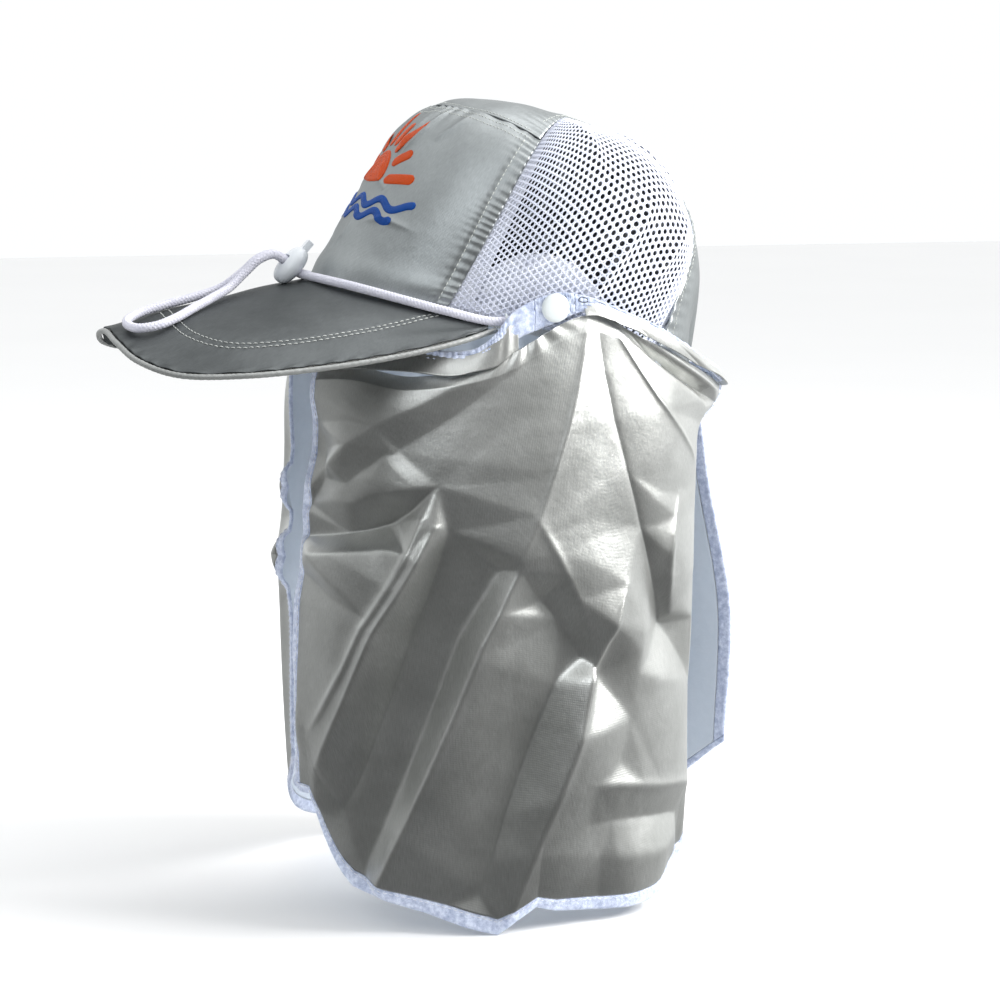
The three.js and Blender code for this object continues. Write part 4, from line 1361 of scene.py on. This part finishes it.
def make_eyelets():
    way = np.array(CORD_SIDE[1]) - np.array(CORD_SIDE[0])
    section = [(RING_RADIUS + WIRE_ACROSS * math.cos(a), WIRE_ALONG * math.sin(a))
               for a in np.linspace(0, 2 * math.pi, 17)]
    for side in SIDES:
        verts, faces = turned(section, 40)
        turn = Vector((0, 0, 1)).rotation_difference(Vector(way)).to_matrix()
        verts = verts @ np.array(turn).T + np.array(EYELET_PLACE)
        if side == "right":
            verts = mirrored(verts)
        ring = face_outwards(new_object(f"eyelet_ring_{side}", worn(verts), faces, None,
                                        [SNAP_PLASTIC]))
        placed(ring, "root", "white_plastic", f"cord_eyelet_{side}")


def follows_snap(piece):
    """Cloth that hangs from the snap; its transform is baked into its mesh."""
    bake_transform(piece)
    return piece


def tape_relief(u, v):
    roll = 0.5 * np.sin(math.pi * v)
    gathers = np.sin(2 * math.pi * (30 * u + 0.8 * np.sin(17 * u)))
    return roll + 0.28 * gathers * (1 - v) + wrinkles(u, v, 21, 7, 0.5)


def tape_piece(name, node, knots, columns):
    """A stretch of the bound tape between two knots, with the sheet that it was made from."""
    sheet = Sheet(tape_surface(*knots), (0, 1), (0, 1), (columns, 15), tape_relief,
                  away_from=(0, 0, -12), cap=False)
    piece = strip_object(name, sheet, True, 0.75, TAPE)
    return stands_for(piece, "white_tape", node), sheet


def make_buttonhole(side, sheet):
    """Dark thread round the slot in the tape just behind the snap."""
    near = 0.045 if side == "left" else 0.955
    angles = np.linspace(0, 2 * math.pi, 49)
    points, _ = sheet.at(near + 0.022 * np.cos(angles), 0.32 + 0.16 * np.sin(angles), 0.85)
    hole = tube_object(f"buttonhole_{side}", points[:-1], 0.3, 8, DARK_THREAD)
    follows_snap(hole)


def make_casing():
    joint = 0.02
    middle = TAPE_KNOTS / 2
    for side in SIDES:
        stretches = {"front": (0, TAB_FROM - joint), "tab": (TAB_FROM, TAB_TO),
                     "back": (TAB_TO + joint, middle)}
        if side == "right":
            stretches = {name: (TAPE_KNOTS - b, TAPE_KNOTS - a)
                         for name, (a, b) in stretches.items()}
        front, _ = tape_piece(f"casing_front_tape_{side}", f"casing_front_{side}",
                              stretches["front"], 260)
        follows_snap(front)
        tab, _ = tape_piece(f"casing_tab_tape_{side}", f"casing_tab_{side}",
                            stretches["tab"], 80)
        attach(tab, f"snap_{side}")
        back, sheet = tape_piece(f"casing_back_tape_{side}", "casing_back",
                                 stretches["back"], 260)
        follows_snap(back)
        make_buttonhole(side, sheet)


# ---------------------------------------------------------------- hanging cloth
def waved_line(start, end, height, waves):
    """A straight line of (across %, down %, height) points that rises and falls evenly."""
    steps = np.linspace(0, 1, 4 * waves + 1)
    return [(start[0] + (end[0] - start[0]) * t, start[1] + (end[1] - start[1]) * t,
             height * math.sin(2 * math.pi * waves * t + 0.6)) for t in steps]


def fold_line(start, end, bow, heights, steps=7):
    """A bowed line of (across %, down %, height) points.

    bow is how far its middle stands off the straight line, towards the front edge where the
    fold runs down; the three heights are those of its start, middle and end."""
    (ax, ay), (bx, by) = start, end
    length = math.hypot(bx - ax, by - ay)
    first, middle, last = heights
    points = []
    for t in np.linspace(0, 1, steps):
        off = 4 * bow * t * (1 - t) / length
        height = (first * (1 - t) * (1 - 2 * t) + 4 * middle * t * (1 - t)
                  + last * t * (2 * t - 1))
        points.append((ax + (bx - ax) * t - off * (by - ay),
                       ay + (by - ay) * t + off * (bx - ax), height))
    return points


# Size of the field that the left panel's folds are laid out on, in mm.
FOLD_FIELD = (250, 280)
# Edges of the left panel, as (start, end, height in mm, waves). Places are (across %, down %),
# from the front edge and the casing.
LEFT_EDGES = [((0, 0), (0, 100), 1.5, 3), ((100, 0), (100, 100), 1.5, 3),
              ((6, 100), (94, 100), 2.5, 3)]
# Folds of the left panel, as (start, end, bow in %, (first, middle and last height in mm)).
LEFT_FOLDS = {
    "front curve": ((43, 0), (2, 35), 2.5, (2, 4, 1)),
    "under the front curve": ((43, 6), (8, 38), 0.5, (1, 1, 0)),
    "light patch": ((50, 11), (37, 26), 0, (3, 3, 3)),
    "short line": ((24, 22), (16, 37), 0, (2, 2, 1)),
    "snap ridge": ((57, 1), (44, 50), -1.5, (1, 6, 9)),
    "behind the snap ridge": ((59, 2), (76, 66), 4.5, (1, 3, -6)),
    "fan ridge": ((62, 1), (84, 34), 0, (1, 4, 2)),
    "slot ridge": ((77, 39), (76, 64), 3, (2, 4, 1)),
    "casing slot": ((67, 0), (87, 8), 0.5, (-3, -6, -2)),
    "above the slot": ((74, 0), (86, 3), 0, (1, 3, 3)),
    "below the slot": ((67, 3), (87, 13), 0, (2, 3, 2)),
    "diagonal ridge": ((46, 41), (56, 68), 0, (8, 8, 4)),
    "under the diagonal": ((48, 59), (56, 71), 0, (-2, -3, -1)),
    "long ridge": ((44, 52), (20, 99), -1, (8, 8, 4)),
    "left of the long ridge": ((41, 52), (17, 98), -0.5, (0, -4, -2)),
    "pleat left": ((29, 40), (6, 87), -2.3, (5, 8, 4)),
    "pleat right": ((31, 42), (7, 92), -1.5, (5, 11, 3)),
    "pleat valley": ((33, 43), (12, 93), -1.8, (1, -4, -2)),
    "pleat mouth": ((28, 37), (13, 46), -1.3, (-1, -5, -3)),
    "above the mouth": ((32, 32), (21, 34), 0, (2, 3, 2)),
    "under the mouth": ((22, 48), (6, 53), 0, (5, 6, 7)),
    "front dents": ((2, 16), (2, 40), -4, (-1, -2, -1)),
    "deep ridge": ((62, 57), (43, 99), 0, (6, 11, 4)),
    "left of the deep ridge": ((50, 72), (38, 96), 0, (-3, -4, -3)),
    "facet edge": ((67, 66), (61, 82), -1, (3, 2, 2)),
    "cross ridge": ((55, 84), (90, 91), -1.2, (6, 4, 2)),
    "under the cross ridge": ((55, 89), (83, 93), -1.3, (2, -1, -1)),
    "hem bump": ((57, 93), (80, 95), 0, (1, 4, 2)),
    "front corner": ((2, 83), (2, 93), 0, (3, 4, 2)),
    "back light": ((86, 20), (86, 76), -1.5, (1, 2, 1)),
}


def snap_gathers(u, v, middle):
    """Small pleats that fan out from under the snap."""
    fan = (u - middle) / (0.03 + 0.45 * v)
    near = np.exp(-(v / 0.04) ** 2) * np.exp(-(fan / 1.2) ** 2)
    return 0.9 * near * np.sin(2 * math.pi * 1.3 * fan)


# The folds that are pressed to a narrow line, as (name, height of the line in mm).
SHARP_FOLDS = (("snap ridge", 1.2), ("fan ridge", 1.0), ("slot ridge", 1.2), ("long ridge", 1.3),
               ("pleat left", 2.0), ("pleat right", 2.2), ("pleat valley", -2.0),
               ("diagonal ridge", 0.8), ("deep ridge", 1.6), ("cross ridge", 1.0),
               ("left of the deep ridge", -1.0), ("behind the snap ridge", -0.6),
               ("under the cross ridge", -0.8))
# How far the hem of the left panel is drawn up, as (across %, mm up).
HEM_LIFTS = ((0, 0), (2, 3), (5, 12), (9, 3), (15, -6), (24, -3), (34, -2), (41, -2), (44, 6),
             (47, 12), (50, 8), (58, 3), (70, 0), (80, -3), (90, -8), (100, -4))


def lifted_hem(surface, lifts):
    across, up = np.array(lifts).T

    def lifted(us, vs):
        points = surface(us, vs)
        points[..., 2] += np.interp(us, across / 100, up)[None] * (vs ** 7)[:, None]
        return points
    return lifted


def left_relief():
    folds = {name: fold_line(*fold) for name, fold in LEFT_FOLDS.items()}
    edges = [waved_line(*edge) for edge in LEFT_EDGES]
    folded = facets(edges + list(folds.values()), FOLD_FIELD)

    def relief(u, v):
        height = folded(np.clip(u, 0.001, 0.999), np.clip(v, 0.001, 0.999))
        height = 1.35 * (0.6 * blurred(height, 2.2) + 0.4 * blurred(height, 7.0))
        for name, line in SHARP_FOLDS:
            path = [(a / 100, d / 100) for a, d, _ in folds[name]]
            height += ridge(u, v, path, line, 0.008)
        casing = np.clip(v / 0.04, 0, 1)
        return height * casing + snap_gathers(u, v, 0.485) + wrinkles(u, v, 31, 5, 0.35)
    return relief


# Folds of the right panel, as (points in u and v, height in mm, width in u and v).
RIGHT_FOLDS = [([(0.00, 0.33), (0.03, 0.40), (0.00, 0.47)], 8.0, 0.040),
               ([(0.00, 0.53), (0.04, 0.60), (0.00, 0.68)], 10.0, 0.045),
               ([(0.10, 0.00), (0.12, 0.40), (0.08, 1.00)], 6.0, 0.050),
               ([(0.27, 0.00), (0.25, 0.45), (0.29, 1.00)], 7.0, 0.045),
               ([(0.50, 0.02), (0.45, 0.40), (0.44, 1.00)], 8.0, 0.045),
               ([(0.54, 0.02), (0.62, 0.45), (0.61, 1.00)], 7.5, 0.045),
               ([(0.66, 0.00), (0.76, 0.50), (0.78, 1.00)], 6.5, 0.045),
               ([(0.84, 0.00), (0.90, 0.50), (0.90, 1.00)], 5.0, 0.040),
               ([(0.20, 0.30), (0.34, 0.52), (0.52, 0.62)], 4.0, 0.040),
               ([(0.58, 0.70), (0.72, 0.78), (0.88, 0.74)], 3.5, 0.040)]


def right_relief(u, v):
    out = wrinkles(u, v, 41, 3, 1.2) + ridges(u, v, RIGHT_FOLDS)
    return out * np.clip(v / 0.05, 0, 1) + snap_gathers(u, v, 0.53)


# Knots of the casing tape where the eight ribs of the left panel hang.
RIB_KNOTS = (0, 1, 2, 5, 8, 9.5, 11, 12.5)
# Stretches of the casing tape, between two knots, with the cloth folded up over them.
TURNED_EDGES = {"front": (0.3, TAB_FROM - 0.4), "back": (TAB_TO + 0.3, 12.9)}


def make_turned_edge(place, relief):
    """Beside the left snap the cloth is folded up over the outside of the casing tape."""
    start, end = TURNED_EDGES[place]
    ribs = np.linspace(0, 1, len(RIB_KNOTS))
    tape = tape_surface(start, end)

    def folded(us, vs):
        return tape(us, 0.30 + 1.05 * vs)

    def height(u, v):
        rib = np.interp(start + (end - start) * u, RIB_KNOTS, ribs)
        ends = np.clip(np.minimum(u, 1 - u) / 0.06, 0, 1)
        pulled = np.clip(relief(rib, 0.012 + 0.03 * v), -0.2, 4)
        return ends + 0.9 * v * pulled + 0.4 * np.sin(math.pi * v)

    sheet = Sheet(folded, (0, 1), (0, 1), (260, 40), height, 0.3, (0, 0, -12), False)
    turned_edge = sheet_object(f"veil_turned_edge_{place}", sheet, 0.8, VEIL_SILVER)
    return follows_snap(turned_edge)


def make_bindings(side, section, edge, hem, nu, nv):
    """The bound edges and their stitches; edge and hem are the bindings' widths in u and v."""
    row, end_gap = 0.18, 0.01
    ends = (end_gap, 1 - hem - end_gap)
    foot = 1 - hem + row * hem
    pieces = []
    for name, us, vs, size, along, path in (
            ("front_binding", (0, edge), (0, 1 - hem), (11, nv), False,
             [(edge - row * edge, v) for v in ends]),
            ("back_binding", (1 - edge, 1), (0, 1 - hem), (11, nv), False,
             [(1 - edge + row * edge, v) for v in ends]),
            ("hem_binding", (0, 1), (1 - hem, 1), (nu, 11), True,
             [(u, foot) for u in (end_gap, 1 - end_gap)])):
        sheet = section(us, vs, size)
        binding = strip_object(f"{name}_tape_{side}", sheet, along, 1.0, TAPE)
        stands_for(binding, "white_tape", f"{name}_{side}")
        thread_row = stitches(f"{name}_stitches_{side}", sheet, path, 3.0, 2.2, 0.2,
                              WHITE_THREAD, None, 1.0)
        pieces += [follows_snap(binding), follows_snap(thread_row)]
    return pieces


def make_veil(side):
    cloth = veil_surface(RIBS[side])
    relief = left_relief() if side == "left" else right_relief
    extras = []
    if side == "left":
        extras = [make_turned_edge(place, relief) for place in TURNED_EDGES]
        cloth = lifted_hem(cloth, HEM_LIFTS)
    edge, hem = BINDING_WIDTH / PANEL_SPAN, BINDING_WIDTH / PANEL_DROP
    nu, nv = (520, 580) if side == "left" else (360, 400)
    whole = Sheet(cloth, (0, 1), (0, 1), (nu, nv), relief, away_from=(0, 0, -150), cap=False)

    def shaped(us, vs):
        """The finished, folded surface, for the panel and all its bindings alike."""
        gu, gv = np.meshgrid(us, vs)
        points, _ = whole.at(gu.ravel(), gv.ravel())
        return points.reshape(len(vs), len(us), 3)

    def section(u_range, v_range, size):
        return Sheet(shaped, u_range, v_range, size, away_from=(0, 0, -150), cap=False)

    main = section((edge, 1 - edge), (0, 1 - hem), (nu, nv))
    main.p += main.n * 0.6
    panel = sheet_object(f"veil_cloth_{side}", main, 1.2, VEIL_SILVER, VEIL_INSIDE)
    follows_snap(stands_for(panel, "silver_cloth", f"veil_panel_{side}"))
    extras + make_bindings(side, section, edge, hem, nu, nv)


# ---------------------------------------------------------------- assembly
lock_pieces = make_lock()
make_cord()
make_front()
make_strip()
for side_name in SIDES:
    make_net(side_name)
make_bands()
make_brim()
make_eyelets()
make_casing()
make_snaps()
for side_name in SIDES:
    make_veil(side_name)
for node_name, finish_material in (("brim_board", BOARD), ("cord_lock_spring", STEEL)):
    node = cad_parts[node_name]
    node.data.materials.clear()
    node.data.materials.append(finish_material)
